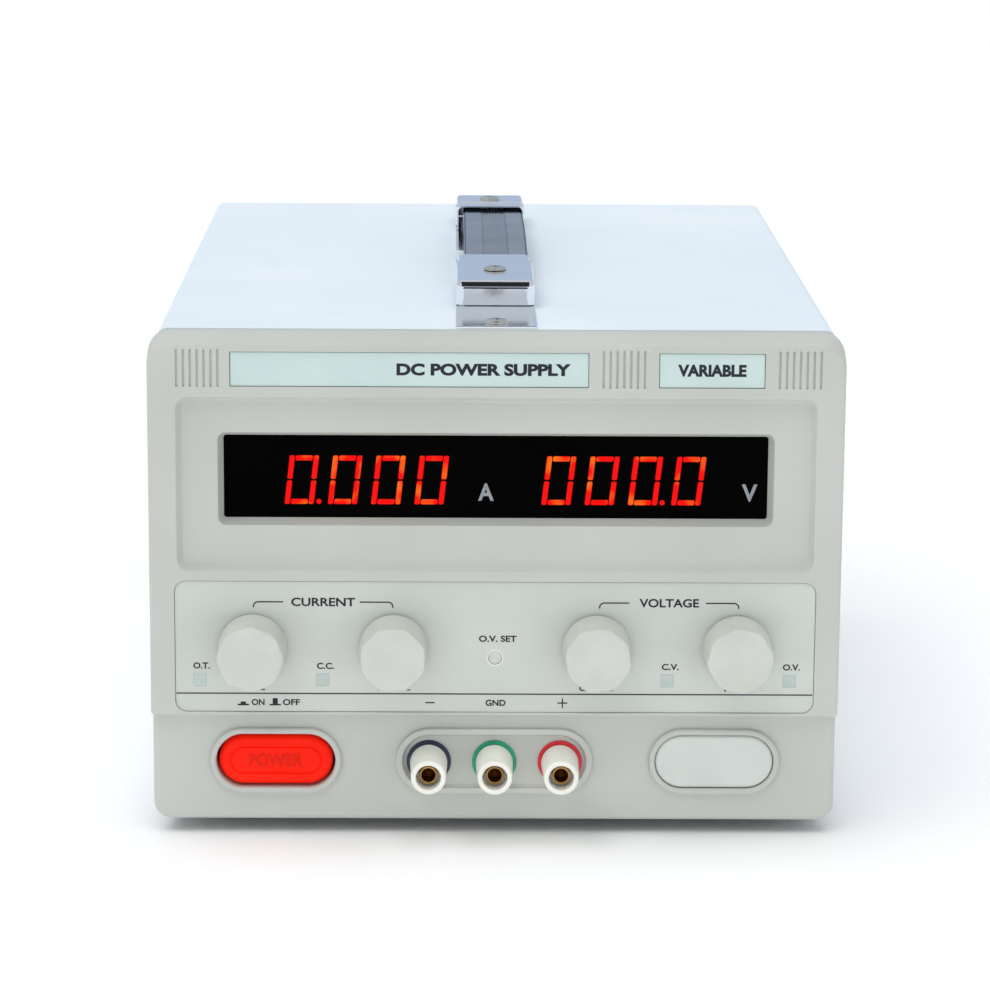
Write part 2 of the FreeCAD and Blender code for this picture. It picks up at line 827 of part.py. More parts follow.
def make_foot(x, t):
    foot = Part.makeCone(foot_radius - foot_taper, foot_radius, chassis_bottom + foot_height,
                         Vector(x, depth(t), 0), z_axis)
    foot = foot.cut(post(x, t, foot_recess_radius, -foot_height - 1, -foot_height + foot_recess_depth))
    return foot.cut(post(x, t, screw_hole - 0.1, -foot_height, chassis_bottom + 1))


def make_foot_screw(x, t):
    seat = -foot_height + foot_recess_depth
    head = post(x, t, foot_head_radius, -foot_height + foot_head_start, seat)
    return head.fuse(post(x, t, screw_shank, seat, chassis_bottom + 5)).removeSplitter()


# ---------------------------------------------------------------- handle


def cover_top():
    return bezel_height + cover_rise


def bracket_outline(wall, mouth, away):
    """Side view of the pressed cap: outer wall, sloping roof, open mouth; away is +1 for a mouth facing back."""
    base = cover_top() + plate_thick
    top_wall = cover_top() + cap_wall_height
    top_mouth = cover_top() + cap_mouth_height
    return ((wall, base), (wall + away * 1.2, top_wall - 1.2), (wall + away * 3.0, top_wall), (mouth, top_mouth),
            (mouth, base))


def cap_hollow(wall, mouth, away):
    """The space under the cap, one sheet inside its outline."""
    base = cover_top()
    outline = ((wall + away * sheet * 1.2, base + plate_thick), (wall + away * 2.4, base + cap_wall_height - 1.6),
               (wall + away * 3.6, base + cap_wall_height - sheet), (mouth + away, base + cap_mouth_height - sheet),
               (mouth + away, base + plate_thick))
    return prism_along_x(outline, -handle_width / 2 + sheet, handle_width / 2 - sheet)


def make_handle_bracket(wall, mouth, foot, tongue, screw_places):
    """Plate on the cover with a raised hollow cap over the strap end and a tongue under the strap."""
    away = 1 if mouth > wall else -1
    half = handle_width / 2
    base = cover_top()
    plate = box(-half, half, min(foot, tongue), max(foot, tongue), base, base + plate_thick)
    corners = [edge for edge in plate.Edges
               if edge.BoundBox.ZLength > plate_thick / 2 and abs(edge.BoundBox.YMin - depth(tongue)) < 1e-6]
    plate = plate.makeFillet(4.0, corners)
    outside = prism_along_x(bracket_outline(wall, mouth, away), -half, half)
    roof = [edge for edge in outside.Edges
            if edge.BoundBox.ZMin > height(base + cap_wall_height) - 1e-3 and edge.BoundBox.YLength > 20]
    outside = outside.makeFillet(cap_round, roof)
    body = plate.fuse(outside.cut(cap_hollow(wall, mouth, away)))
    ledge = mouth - away * cap_step
    start, end = min(ledge, mouth + away), max(ledge, mouth + away)
    for side in (-1, 1):
        inner = side * (half - cap_step_inset)
        outer = side * (half + 0.5)
        body = body.cut(box(min(inner, outer), max(inner, outer), start, end, base + plate_thick,
                            base + cap_mouth_height + 2))
    for t in screw_places:
        body = body.cut(post(0, t, screw_hole, base - 1, base + 20))
    return body.removeSplitter()


def make_strap_half(mouth, middle, away):
    """One half of the carrying strap: a stub inside the cap and a gently rising run to the middle."""
    base = cover_top() + strap_low
    pivot = mouth - away * strap_pivot_inside
    end = pivot - away * strap_stub
    stop = middle - away * strap_joint_gap / 2
    rise = strap_rise
    quarter = mouth + away * 34
    outline = ((end, base), (mouth, base), (quarter, base + rise * 0.62), (stop, base + rise),
               (stop, base + rise + strap_thick), (quarter, base + rise * 0.62 + strap_thick),
               (mouth, base + strap_thick), (end, base + strap_thick))
    half = strap_width / 2
    return prism_along_x(outline, strap_offset - half, strap_offset + half)


def roof_height(wall, mouth, t):
    """Height of the cap's roof over the cover at a depth."""
    slope_start = wall + 3.0 * (1 if mouth > wall else -1)
    share = (t - slope_start) / (mouth - slope_start)
    return cap_wall_height + (cap_mouth_height - cap_wall_height) * share


def make_handle_screws():
    base = cover_top()
    screws = [screw_on_top(0, t, base + plate_thick, 4.0, 2.4, 2.0, 6.0) for t in (front_screw, rear_screw)]
    for wall, mouth, t in ((front_wall, front_mouth, front_cap_screw), (rear_wall, rear_mouth, rear_cap_screw)):
        roof = roof_height(wall, mouth, t) + 0.15
        screws.append(screw_on_top(0, t, base + roof, 4.5, 1.5, 2.0, roof + 4))
    return screws


# ---------------------------------------------------------------- rear side


def fan_holes():
    half = fan_hole_pitch / 2
    return [(fan_x + sx * half, fan_z + sz * half) for sx in (-1, 1) for sz in (-1, 1)]


def around_fan(shape, angle):
    return turned(shape, Vector(fan_x, 0, height(fan_z)), y_axis, angle)


def make_fan_frame():
    front = rear_panel_depth - fan_thick
    half = fan_size / 2
    body = rounded_block(fan_x - half, fan_x + half, fan_z - half, fan_z + half, 4.0, front, rear_panel_depth)
    body = body.cut(rod(fan_x, fan_z, fan_bore, front - 1, rear_panel_depth + 1))
    for x, h in fan_holes():
        body = body.cut(rod(x, h, fan_hole_radius, front - 1, rear_panel_depth + 1))
    body = body.fuse(rod(fan_x, fan_z, fan_hub, front, front + fan_hub_plate))
    for index in range(4):
        strut = box(fan_x + fan_hub - 1, fan_x + fan_bore + 0.5, front, front + fan_strut, fan_z - fan_strut / 2,
                    fan_z + fan_strut / 2)
        body = body.fuse(around_fan(strut, 45 + 90 * index))
    pin_start = front + fan_hub_plate
    body = body.fuse(rod(fan_x, fan_z, fan_pin_radius, pin_start, pin_start + fan_pin_reach))
    return body.removeSplitter()


def make_fan_rotor():
    front = rear_panel_depth - fan_thick + fan_rotor_start
    back = front + fan_rotor_length
    tip = fan_bore - fan_tip_gap
    half = fan_blade_thick / 2
    rotor = rod(fan_x, fan_z, fan_hub, front, back)
    for index in range(fan_blades):
        blade = box(fan_x - half, fan_x + half, front + 1, back - 1, fan_z + fan_hub - 2, fan_z + tip)
        blade = turned(blade, Vector(fan_x, depth((front + back) / 2), height(fan_z)), z_axis, fan_blade_angle)
        blade = blade.common(rod(fan_x, fan_z, tip, front + 0.5, back - 0.5))
        rotor = rotor.fuse(around_fan(blade, 360.0 * index / fan_blades))
    rotor = rotor.cut(rod(fan_x, fan_z, fan_pin_radius + running_gap, front - 2, front + fan_pin_reach))
    return rotor.removeSplitter()


def make_fan_guard():
    front = rear_panel_depth + panel_sheet
    wire = guard_wire
    guard = rod(fan_x, fan_z, guard_hub, front, front + wire)
    for radius in guard_rings:
        guard = guard.fuse(rod(fan_x, fan_z, radius, front, front + wire)
                           .cut(rod(fan_x, fan_z, radius - wire, front - 1, front + wire + 1)))
    reach = fan_hole_pitch / math.sqrt(2) - 2
    for index in range(4):
        arm = box(fan_x, fan_x + reach, front, front + wire, fan_z - wire / 2, fan_z + wire / 2)
        guard = guard.fuse(around_fan(arm, 45 + 90 * index))
    for x, h in fan_holes():
        guard = guard.fuse(rod(x, h, guard_eye, front, front + wire))
    for x, h in fan_holes():
        guard = guard.cut(rod(x, h, fan_hole_radius - 0.1, front - 1, front + wire + 1))
    return guard.removeSplitter()


def make_fan_screws():
    start = rear_panel_depth + panel_sheet + guard_wire
    screws = []
    for x, h in fan_holes():
        head = rod(x, h, screw_head_radius, start, start + screw_head_height)
        screws.append(head.fuse(rod(x, h, screw_shank, start - 12, start)).removeSplitter())
    return screws


def inlet_face():
    return rear_panel_depth + panel_sheet + inlet_flange


def socket_opening(t0, t1):
    """Six-sided opening of the mains inlet: a rectangle with its two upper corners cut."""
    half_w = socket_width / 2
    half_h = socket_height / 2
    cut = socket_corner_cut
    outline = ((-half_w, -half_h), (half_w, -half_h), (half_w, half_h - cut), (half_w - cut, half_h),
               (-half_w + cut, half_h), (-half_w, half_h - cut))
    points = [Vector(inlet_x + x, depth(t0), height(inlet_z - socket_drop + z)) for x, z in outline]
    points.append(points[0])
    return Part.Face(Part.makePolygon(points)).extrude(Vector(0, t1 - t0, 0))


def make_mains_inlet():
    outside = rear_panel_depth + panel_sheet
    face = inlet_face()
    back = face - inlet_depth
    flange = rounded_block(inlet_x - inlet_flange_width / 2, inlet_x + inlet_flange_width / 2,
                           inlet_z - inlet_flange_height / 2, inlet_z + inlet_flange_height / 2, 5.0, outside, face)
    body = box(inlet_x - inlet_width / 2, inlet_x + inlet_width / 2, back, outside,
               inlet_z - inlet_height / 2, inlet_z + inlet_height / 2)
    body = body.fuse(flange)
    body = body.cut(socket_opening(face - socket_depth, face + 1))
    gap = drawer_gap
    half = drawer_width / 2 + gap
    centre = inlet_z + drawer_rise
    body = body.cut(box(inlet_x - half, inlet_x + half, face - drawer_depth - gap, face + 1,
                        centre - drawer_height / 2 - gap, centre + drawer_height / 2 + gap))
    for side in (-1, 1):
        body = body.cut(rod(inlet_x + side * flange_screw_x, inlet_z, flange_screw_hole, outside - 1, face + 1))
    return body.removeSplitter()


def make_inlet_pins():
    floor = inlet_face() - socket_depth
    centre = inlet_z - socket_drop
    pins = []
    for x, h in ((-7.0, -2.0), (7.0, -2.0), (0.0, 2.4)):
        pins.append(box(inlet_x + x - 1.0, inlet_x + x + 1.0, floor, floor + pin_length, centre + h - 2.0,
                        centre + h + 2.0))
    return pins


def fuse_height():
    return inlet_z + drawer_rise + fuse_lift


def make_fuse_drawer():
    face = inlet_face()
    low = inlet_z + drawer_rise - drawer_height / 2
    high = low + drawer_height
    half = drawer_width / 2
    inner = half - drawer_wall
    tray = box(inlet_x - half, inlet_x + half, face - drawer_depth, face + drawer_wall, low, high)
    tray = tray.cut(side_rod(face - fuse_inset, fuse_height(), fuse_seat_radius, inlet_x - inner, inlet_x + inner))
    tray = tray.cut(box(inlet_x - inner, inlet_x + inner, face - fuse_inset - fuse_seat_radius,
                        face - fuse_inset + fuse_seat_radius, fuse_height(), high + 1))
    pull = box(inlet_x - 4, inlet_x + 4, face + drawer_wall, face + drawer_wall + 1.2, low + 2.4, low + 3.6)
    return tray.fuse(pull).removeSplitter()


def make_fuse():
    half = drawer_width / 2 - drawer_wall - 0.2
    return side_rod(inlet_face() - fuse_inset, fuse_height(), fuse_radius, inlet_x - half, inlet_x + half)


# ---------------------------------------------------------------- inside


def board_top():
    return board_height + board_thick


def core_windows():
    """Across limits of the two windows, one each side of the middle leg."""
    left, right = core_x
    return ((left + core_leg, left + core_leg + core_window),
            (right - core_leg - core_window, right - core_leg))


def make_transformer_core():
    """Laminated core standing on the board."""
    start, end = core_depths
    core = box(*core_x, start, end, board_top(), board_top() + core_rise)
    for left, right in core_windows():
        core = core.cut(box(left, right, start - 1, end + 1, board_top() + core_leg,
                            board_top() + core_rise - core_leg))
    return core


def make_transformer_winding():
    """Coil round the middle leg, filling both windows."""
    (left, leg_left), (leg_right, right) = core_windows()
    start, end = core_depths
    gap = coil_gap
    low = board_top() + core_leg + gap
    high = board_top() + core_rise - core_leg - gap
    coil = box(left + gap, right - gap, start - coil_overhang, end + coil_overhang, low, high)
    return coil.cut(box(leg_left - gap, leg_right + gap, start - gap, end + gap, low - 1, high + 1))


def make_heatsink(x):
    start, end = heatsink_depths
    sink = box(x, x + heatsink_base, start, end, board_top(), board_top() + heatsink_rise)
    for index in range(heatsink_fins):
        h = board_top() + 6 + index * heatsink_fin_pitch
        sink = sink.fuse(box(x + heatsink_base, x + heatsink_reach, start, end, h, h + heatsink_fin))
    return sink.removeSplitter()


def make_capacitor(x, t):
    return post(x, t, capacitor_radius, board_top(), board_top() + capacitor_rise)


# ---------------------------------------------------------------- writing the nodes


def write(name, shape):
    if isinstance(shape, list):
        shape = Part.makeCompound(shape)
    solids = shape.Solids
    for solid in solids:
        if not solid.isValid():
            print("not valid:", name)
    bounds = shape.BoundBox
    print(f"{name:26s} {len(solids):2d} solids {shape.Volume / 1000:9.2f} cm3  "
          f"x {bounds.XMin:7.1f} {bounds.XMax:7.1f}  y {bounds.YMin:7.1f} {bounds.YMax:7.1f}  "
          f"z {bounds.ZMin:6.1f} {bounds.ZMax:6.1f}")
    shape.exportStep(f"parts/{name}.step")


def write_front():
    write("front_bezel", make_front_bezel())
    write("display_window", make_display_window())
    write("left_name_strip", make_name_strip(left_strip))
    write("right_name_strip", make_name_strip(right_strip))
    write("control_overlay", make_control_overlay())
    write("indicator_windows", make_indicator_windows())
    write("control_board", make_control_board())
    write("display_board", make_display_board())
    write("digit_modules", make_digit_modules())


def write_controls():
    for name, x in knob_places.items():
        write(f"{name}_knob", make_knob(x))
        write(f"{name}_shaft", make_knob_shaft(x))
    write("potentiometers", [make_potentiometer(x) for x in knob_places.values()])
    write("potentiometer_nuts", [make_pot_nut(x) for x in knob_places.values()])
    write("trimmer_screw", make_trimmer_screw())
    write("trimmer_body", make_trimmer_body())


def write_lower_section():
    write("oval_rings", [make_oval_ring(x) for x in ring_places])
    write("power_button", make_power_button())
    write("power_switch", make_power_switch())
    write("blank_plug", make_blank_plug())
    write("terminal_surround", make_terminal_surround())
    for index, name in enumerate(post_names):
        write(f"{name}_post_ring", make_post_ring(index))
        write(f"{name}_post_washer", make_clamp_washer(index))
        write(f"{name}_post_cap", make_post_cap(index))
    write("post_studs", [make_post_stud(index) for index in range(3)])
    write("post_nuts", [make_post_nut(index) for index in range(3)])


def write_case():
    write("top_cover", make_top_cover())
    write("bottom_chassis", make_bottom_chassis())
    write("rear_panel", make_rear_panel())
    write("case_screws", make_cover_screws() + make_fan_screws())
    write("feet", [make_foot(x, t) for x, t in foot_places()])
    write("foot_screws", [make_foot_screw(x, t) for x, t in foot_places()])


def write_handle():
    middle = (front_mouth + rear_mouth) / 2
    write("front_handle_bracket", make_handle_bracket(front_wall, front_mouth, front_foot_start,
                                                      middle - tongue_gap / 2, (front_screw, front_cap_screw)))
    write("rear_handle_bracket", make_handle_bracket(rear_wall, rear_mouth, rear_foot_end,
                                                     middle + tongue_gap / 2, (rear_screw, rear_cap_screw)))
    write("front_strap_half", make_strap_half(front_mouth, middle, 1))
    write("rear_strap_half", make_strap_half(rear_mouth, middle, -1))
    write("handle_screws", make_handle_screws())


def write_rear():
    write("fan_frame", make_fan_frame())
    write("fan_rotor", make_fan_rotor())
    write("fan_guard", make_fan_guard())
    write("mains_inlet", make_mains_inlet())
    write("inlet_pins", make_inlet_pins())
    write("fuse_drawer", make_fuse_drawer())
    write("fuse", make_fuse())


def write_inside():
    write("main_board", make_main_board())
    write("transformer_core", make_transformer_core())
    write("transformer_winding", make_transformer_winding())
    write("heatsinks", [make_heatsink(x) for x in heatsink_places])
    write("capacitors", [make_capacitor(x, t) for x, t in capacitor_places])


write_front()
write_controls()
write_lower_section()
write_case()
write_handle()
write_rear()
write_inside()
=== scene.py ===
import bpy
import bmesh
import math
from mathutils import Matrix, Vector


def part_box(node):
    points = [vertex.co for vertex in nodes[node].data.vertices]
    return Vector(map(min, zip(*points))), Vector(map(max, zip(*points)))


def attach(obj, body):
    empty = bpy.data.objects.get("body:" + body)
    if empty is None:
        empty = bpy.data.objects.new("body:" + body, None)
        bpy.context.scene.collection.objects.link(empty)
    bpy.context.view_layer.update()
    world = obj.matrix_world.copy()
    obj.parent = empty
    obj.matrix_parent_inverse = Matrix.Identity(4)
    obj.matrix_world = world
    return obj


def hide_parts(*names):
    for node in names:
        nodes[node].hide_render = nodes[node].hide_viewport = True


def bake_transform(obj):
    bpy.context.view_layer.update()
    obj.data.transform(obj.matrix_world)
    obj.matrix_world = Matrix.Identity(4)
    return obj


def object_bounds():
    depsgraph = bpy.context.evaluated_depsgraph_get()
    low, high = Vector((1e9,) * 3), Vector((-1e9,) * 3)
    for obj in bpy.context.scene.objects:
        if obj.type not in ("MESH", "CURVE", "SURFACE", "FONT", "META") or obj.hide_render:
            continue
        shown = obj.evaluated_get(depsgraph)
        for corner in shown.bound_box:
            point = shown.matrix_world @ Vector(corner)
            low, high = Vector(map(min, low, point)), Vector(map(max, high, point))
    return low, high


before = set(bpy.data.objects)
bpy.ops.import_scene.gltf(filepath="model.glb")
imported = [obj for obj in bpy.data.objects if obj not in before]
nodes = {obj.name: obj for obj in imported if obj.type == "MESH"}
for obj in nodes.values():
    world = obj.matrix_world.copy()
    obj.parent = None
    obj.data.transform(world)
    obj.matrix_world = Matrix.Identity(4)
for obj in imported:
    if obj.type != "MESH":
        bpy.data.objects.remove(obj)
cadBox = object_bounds()
print("frame loaded:", len(nodes), "nodes")


def mm(value):
    return value / 1000


bezelLow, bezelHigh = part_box("front_bezel")
frontPlane = bezelLow[1]
bezelFoot = bezelLow[2]


def at(x, depth, height):
    # millimetres across, behind the front plane and above the bezel's lower edge
    return Vector((mm(x), frontPlane + mm(depth), bezelFoot + mm(height)))


def middle(node):
    low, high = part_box(node)
    return (Vector(low) + Vector(high)) / 2


def extent(node):
    # width, depth and height in millimetres
    low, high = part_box(node)
    return (Vector(high) - Vector(low)) * 1000


def inFront(node, depth=0.0):
    # the middle of a node, brought to a depth in millimetres behind the front plane
    spot = middle(node)
    return Vector((spot.x, frontPlane + mm(depth), spot.z))


def frontOf(node):
    # the middle of a node's front face
    spot = middle(node)
    return Vector((spot.x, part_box(node)[0][1], spot.z))


# turns that point a shape's own +Z at one side of the instrument
facings = {
    "front": Matrix.Rotation(math.radians(90), 4, "X"),
    "up": Matrix.Identity(4),
    "left": Matrix.Rotation(math.radians(-90), 4, "Y"),
    "right": Matrix.Rotation(math.radians(90), 4, "Y"),
}


def placed(bm, spot, facing="front"):
    bm.transform(Matrix.Translation(spot) @ facings[facing])
    return bm


# colour and shading

def hexColour(text):
    values = [int(text[start:start + 2], 16) / 255 for start in (1, 3, 5)]
    linear = [v / 12.92 if v <= 0.04045 else ((v + 0.055) / 1.055) ** 2.4 for v in values]
    return (*linear, 1.0)


def addNode(tree, kind, settings=None, links=None):
    node = tree.nodes.new(kind)
    for name, value in (settings or {}).items():
        if isinstance(name, int) or name in node.inputs:
            node.inputs[name].default_value = value
        else:
            setattr(node, name, value)
    for name, source in (links or {}).items():
        tree.links.new(source, node.inputs[name])
    return node


def finish(name, look):
    # colour clouds, a fine grain in the bump and a roughness that follows the grain
    material = bpy.data.materials.new(name)
    material.use_nodes = True
    tree = material.node_tree
    shader = tree.nodes["Principled BSDF"]
    for socket, value in look.get("shader", {}).items():
        shader.inputs[socket].default_value = value
    place = addNode(tree, "ShaderNodeTexCoord").outputs["Object"]
    cloud = addNode(tree, "ShaderNodeTexNoise", {"Scale": 1000 / look["cloud"], "Detail": 3.0},
                    {"Vector": place})
    share = addNode(tree, "ShaderNodeMapRange", {"From Min": 0.35, "From Max": 0.65},
                    {"Value": cloud.outputs["Fac"]})
    tint = addNode(tree, "ShaderNodeMix",
                   {"data_type": "RGBA", 6: hexColour(look["colours"][0]), 7: hexColour(look["colours"][1])},
                   {0: share.outputs["Result"]})
    tree.links.new(tint.outputs[2], shader.inputs["Base Color"])
    grain = addNode(tree, "ShaderNodeTexNoise", {"Scale": 1000 / look["grain"], "Detail": 4.0},
                    {"Vector": place})
    gloss = addNode(tree, "ShaderNodeMapRange",
                    {"From Min": 0.35, "From Max": 0.65, "To Min": look["rough"][0],
                     "To Max": look["rough"][1]},
                    {"Value": grain.outputs["Fac"]})
    tree.links.new(gloss.outputs["Result"], shader.inputs["Roughness"])
    height = grain.outputs["Fac"]
    if "bands" in look:
        # parallel lines such as stacked sheets, brushing or extrusion marks
        lines = look["bands"]
        bands = addNode(tree, "ShaderNodeTexWave",
                        {"bands_direction": lines["along"], "Scale": 1000 / lines["pitch"] * math.pi / 10,
                         "Distortion": lines.get("wander", 0.0), "Detail": 2.0}, {"Vector": place})
        both = addNode(tree, "ShaderNodeMath", {"operation": "MULTIPLY_ADD", 1: lines["strength"]},
                       {0: bands.outputs["Fac"], 2: grain.outputs["Fac"]})
        height = both.outputs["Value"]
    bump = addNode(tree, "ShaderNodeBump", {"Strength": look["bump"], "Distance": mm(look["relief"])},
                   {"Height": height})
    tree.links.new(bump.outputs["Normal"], shader.inputs["Normal"])
    return material


# injection-moulded ABS with a spark-eroded mould texture: matt, warm grey, faintly mottled
bezelAbs = finish("moulded_abs_bezel", {
    "colours": ("#C1C5BE", "#C7CAC4"), "cloud": 60, "grain": 0.55, "relief": 0.05, "bump": 0.45,
    "rough": (0.42, 0.55)})
# smooth moulded ABS, polished a little more than the bezel
knobAbs = finish("moulded_abs_knob", {
    "colours": ("#C8CCC4", "#CED2CA"), "cloud": 14, "grain": 0.5, "relief": 0.03, "bump": 0.3,
    "rough": (0.32, 0.42), "shader": {"Subsurface Weight": 0.06, "Subsurface Scale": 0.002}})
# moulded ABS blanking plug, slightly cooler than the bezel
plugAbs = finish("moulded_abs_plug", {
    "colours": ("#D0D6D1", "#D6DBD6"), "cloud": 22, "grain": 0.55, "relief": 0.04, "bump": 0.35,
    "rough": (0.42, 0.52)})
# powder-coated steel sheet: cool white with orange peel
coverPaint = finish("powder_coated_steel", {
    "colours": ("#E6F1F7", "#EEF7FC"), "cloud": 120, "grain": 1.6, "relief": 0.05, "bump": 0.4,
    "rough": (0.38, 0.5)})
# galvanised steel sheet with its spangle of large soft crystals
galvanisedSheet = finish("galvanised_steel", {
    "colours": ("#B3B8BB", "#BDC2C5"), "cloud": 9, "grain": 0.6, "relief": 0.02, "bump": 0.3,
    "rough": (0.34, 0.5), "shader": {"Metallic": 1.0}})
# bright nickel and chromium plate on pressed steel: near mirror, cool
platedSteel = finish("chromium_plated_steel", {
    "colours": ("#EAF0F7", "#F0F5FB"), "cloud": 30, "grain": 0.9, "relief": 0.004, "bump": 0.2,
    "rough": (0.1, 0.16), "shader": {"Metallic": 1.0}})
# bright zinc plate on a rolled screw head: softer than chromium
zincScrew = finish("zinc_plated_steel", {
    "colours": ("#C2C2BD", "#D8D8D3"), "cloud": 4, "grain": 0.4, "relief": 0.01, "bump": 0.35,
    "rough": (0.2, 0.34), "shader": {"Metallic": 1.0}})
# soft PVC strap moulding: grey, satin, faintly uneven
strapPvc = finish("moulded_pvc_strap", {
    "colours": ("#727E8C", "#7D8895"), "cloud": 16, "grain": 0.6, "relief": 0.04, "bump": 0.45,
    "rough": (0.4, 0.55)})
# smoked acrylic sheet: black and polished, with the faint waviness of cast sheet
smokedAcrylic = finish("smoked_acrylic", {
    "colours": ("#020202", "#040404"), "cloud": 40, "grain": 25, "relief": 0.01, "bump": 0.2,
    "rough": (0.08, 0.12), "shader": {"IOR": 1.49, "Specular IOR Level": 0.01}})
# matt printed polyester strip: pale blue green with a fine screen grain
stripPolyester = finish("printed_polyester_strip", {
    "colours": ("#C6DBD7", "#CCE0DC"), "cloud": 26, "grain": 0.4, "relief": 0.02, "bump": 0.3,
    "rough": (0.4, 0.5)})
# velvet polyester overlay: pale grey green, the finest grain on the front
overlayPolyester = finish("printed_polyester_overlay", {
    "colours": ("#C8CDC6", "#CED3CC"), "cloud": 40, "grain": 0.35, "relief": 0.02, "bump": 0.35,
    "rough": (0.4, 0.5)})
# frosted acrylic light pipe: milky, with a cool cast
lightPipe = finish("frosted_acrylic", {
    "colours": ("#B8C5C2", "#C0CBC7"), "cloud": 5, "grain": 0.3, "relief": 0.02, "bump": 0.3,
    "rough": (0.3, 0.42), "shader": {"IOR": 1.49, "Subsurface Weight": 0.2, "Subsurface Scale": 0.002}})
# screen-printed ink: dense navy black, matt
screenInk = finish("screen_printed_ink", {
    "colours": ("#10131F", "#171A28"), "cloud": 3, "grain": 0.2, "relief": 0.005, "bump": 0.3,
    "rough": (0.5, 0.62)})
# painted highlight: a white ring round the trimmer hole stands in for light caught on the hole's rim
rimHighlightPaint = finish("painted_rim_highlight_white", {
    "colours": ("#E2E6DF", "#EAEDE6"), "cloud": 3, "grain": 0.2, "relief": 0.005, "bump": 0.3,
    "rough": (0.45, 0.55)})
# grey ink printed behind the window
unitInk = finish("grey_window_print", {
    "colours": ("#8A8F96", "#979CA2"), "cloud": 3, "grain": 0.2, "relief": 0.005, "bump": 0.3,
    "rough": (0.5, 0.6)})
# translucent red polycarbonate with a painted glow: an emission stands in for light, as no lamp sits behind
# it
buttonPaintedGlow = finish("red_polycarbonate", {
    "colours": ("#F41A06", "#FB220A"), "cloud": 12, "grain": 0.5, "relief": 0.02, "bump": 0.3,
    "rough": (0.25, 0.35),
    "shader": {"IOR": 1.58, "Specular IOR Level": 0.1,
               "Emission Color": hexColour("#FF2000"), "Emission Strength": 0.12}})
# the same polycarbonate for the raised word, with painted shade: a deeper red stands in for the shading of
# the relief, and a weaker painted glow
reliefPaintedShadeAndGlow = finish("red_relief_painted_shade_and_glow", {
    "colours": ("#D81A08", "#E0200C"), "cloud": 12, "grain": 0.5, "relief": 0.02, "bump": 0.3,
    "rough": (0.25, 0.35),
    "shader": {"IOR": 1.58, "Specular IOR Level": 0.1, "Emission Color": hexColour("#FF2000"),
               "Emission Strength": 0.08}})
# glossy moulded nylon of the three post rings, one colour for each terminal
def ringNylon(name, dark, light):
    return finish(name, {"colours": (dark, light), "cloud": 6, "grain": 0.4, "relief": 0.02, "bump": 0.3,
                         "rough": (0.25, 0.36)})


postNavy = ringNylon("navy_nylon", "#222B45", "#2B3552")
postGreen = ringNylon("green_nylon", "#16966F", "#22A881")
postRed = ringNylon("red_nylon", "#D8202F", "#E63240")
# cream nylon of the post caps, which lets a little light in
postCream = finish("cream_nylon", {
    "colours": ("#EDEDE2", "#F3F3EA"), "cloud": 8, "grain": 0.45, "relief": 0.02, "bump": 0.3,
    "rough": (0.28, 0.38), "shader": {"Subsurface Weight": 0.1, "Subsurface Scale": 0.002}})
# turned brass, dulled by handling
turnedBrass = finish("turned_brass", {
    "colours": ("#9A7540", "#B58A50"), "cloud": 5, "grain": 0.35, "relief": 0.01, "bump": 0.35,
    "rough": (0.24, 0.4), "shader": {"Metallic": 1.0},
    "bands": {"along": "Y", "pitch": 0.25, "strength": 0.3}})
# ground steel shafts
groundSteel = finish("ground_steel", {
    "colours": ("#AEB0B0", "#C4C6C6"), "cloud": 4, "grain": 0.4, "relief": 0.005, "bump": 0.3,
    "rough": (0.2, 0.3), "shader": {"Metallic": 1.0}})
# die-cast zinc bodies: dull and slightly pitted
castZinc = finish("die_cast_zinc", {
    "colours": ("#8F9294", "#A6A9AA"), "cloud": 6, "grain": 0.8, "relief": 0.04, "bump": 0.5,
    "rough": (0.4, 0.55), "shader": {"Metallic": 1.0}})
# tinned contact brass
contactBrass = finish("tinned_brass", {
    "colours": ("#C4B184", "#D6C79C"), "cloud": 3, "grain": 0.3, "relief": 0.005, "bump": 0.3,
    "rough": (0.22, 0.34), "shader": {"Metallic": 1.0}})
# black moulded thermoplastic: satin with a fine spark texture
blackNylon = finish("black_nylon", {
    "colours": ("#151617", "#1D1E20"), "cloud": 12, "grain": 0.5, "relief": 0.04, "bump": 0.45,
    "rough": (0.36, 0.5)})
# black glass-filled fan plastic: duller, with flow lines
fanPlastic = finish("glass_filled_pbt", {
    "colours": ("#1A1B1C", "#242628"), "cloud": 18, "grain": 0.7, "relief": 0.05, "bump": 0.5,
    "rough": (0.42, 0.58)})
# nitrile rubber foot: dead matt
footRubber = finish("nitrile_rubber", {
    "colours": ("#1B1B1B", "#262626"), "cloud": 6, "grain": 0.6, "relief": 0.06, "bump": 0.6,
    "rough": (0.65, 0.8)})
# white nylon of the trimmer screw, and blue nylon of the body behind it
trimmerNylon = finish("white_nylon", {
    "colours": ("#CDD2C9", "#D4D8CF"), "cloud": 3, "grain": 0.3, "relief": 0.01, "bump": 0.3,
    "rough": (0.35, 0.45)})
trimmerBlue = finish("blue_nylon", {
    "colours": ("#1F4E9A", "#285AA8"), "cloud": 4, "grain": 0.4, "relief": 0.01, "bump": 0.3,
    "rough": (0.3, 0.4)})
# glass epoxy board under green solder mask, with its weave just showing
boardEpoxy = finish("glass_epoxy_board", {
    "colours": ("#0F5A38", "#17683F"), "cloud": 8, "grain": 0.6, "relief": 0.03, "bump": 0.4,
    "rough": (0.25, 0.38), "bands": {"along": "X", "pitch": 0.9, "strength": 0.35}})
# varnished steel laminations stacked along the depth
coreSteel = finish("varnished_laminations", {
    "colours": ("#3A3632", "#4A4540"), "cloud": 14, "grain": 0.6, "relief": 0.12, "bump": 0.7,
    "rough": (0.35, 0.5), "shader": {"Metallic": 0.5},
    "bands": {"along": "Y", "pitch": 1.0, "strength": 0.9}})
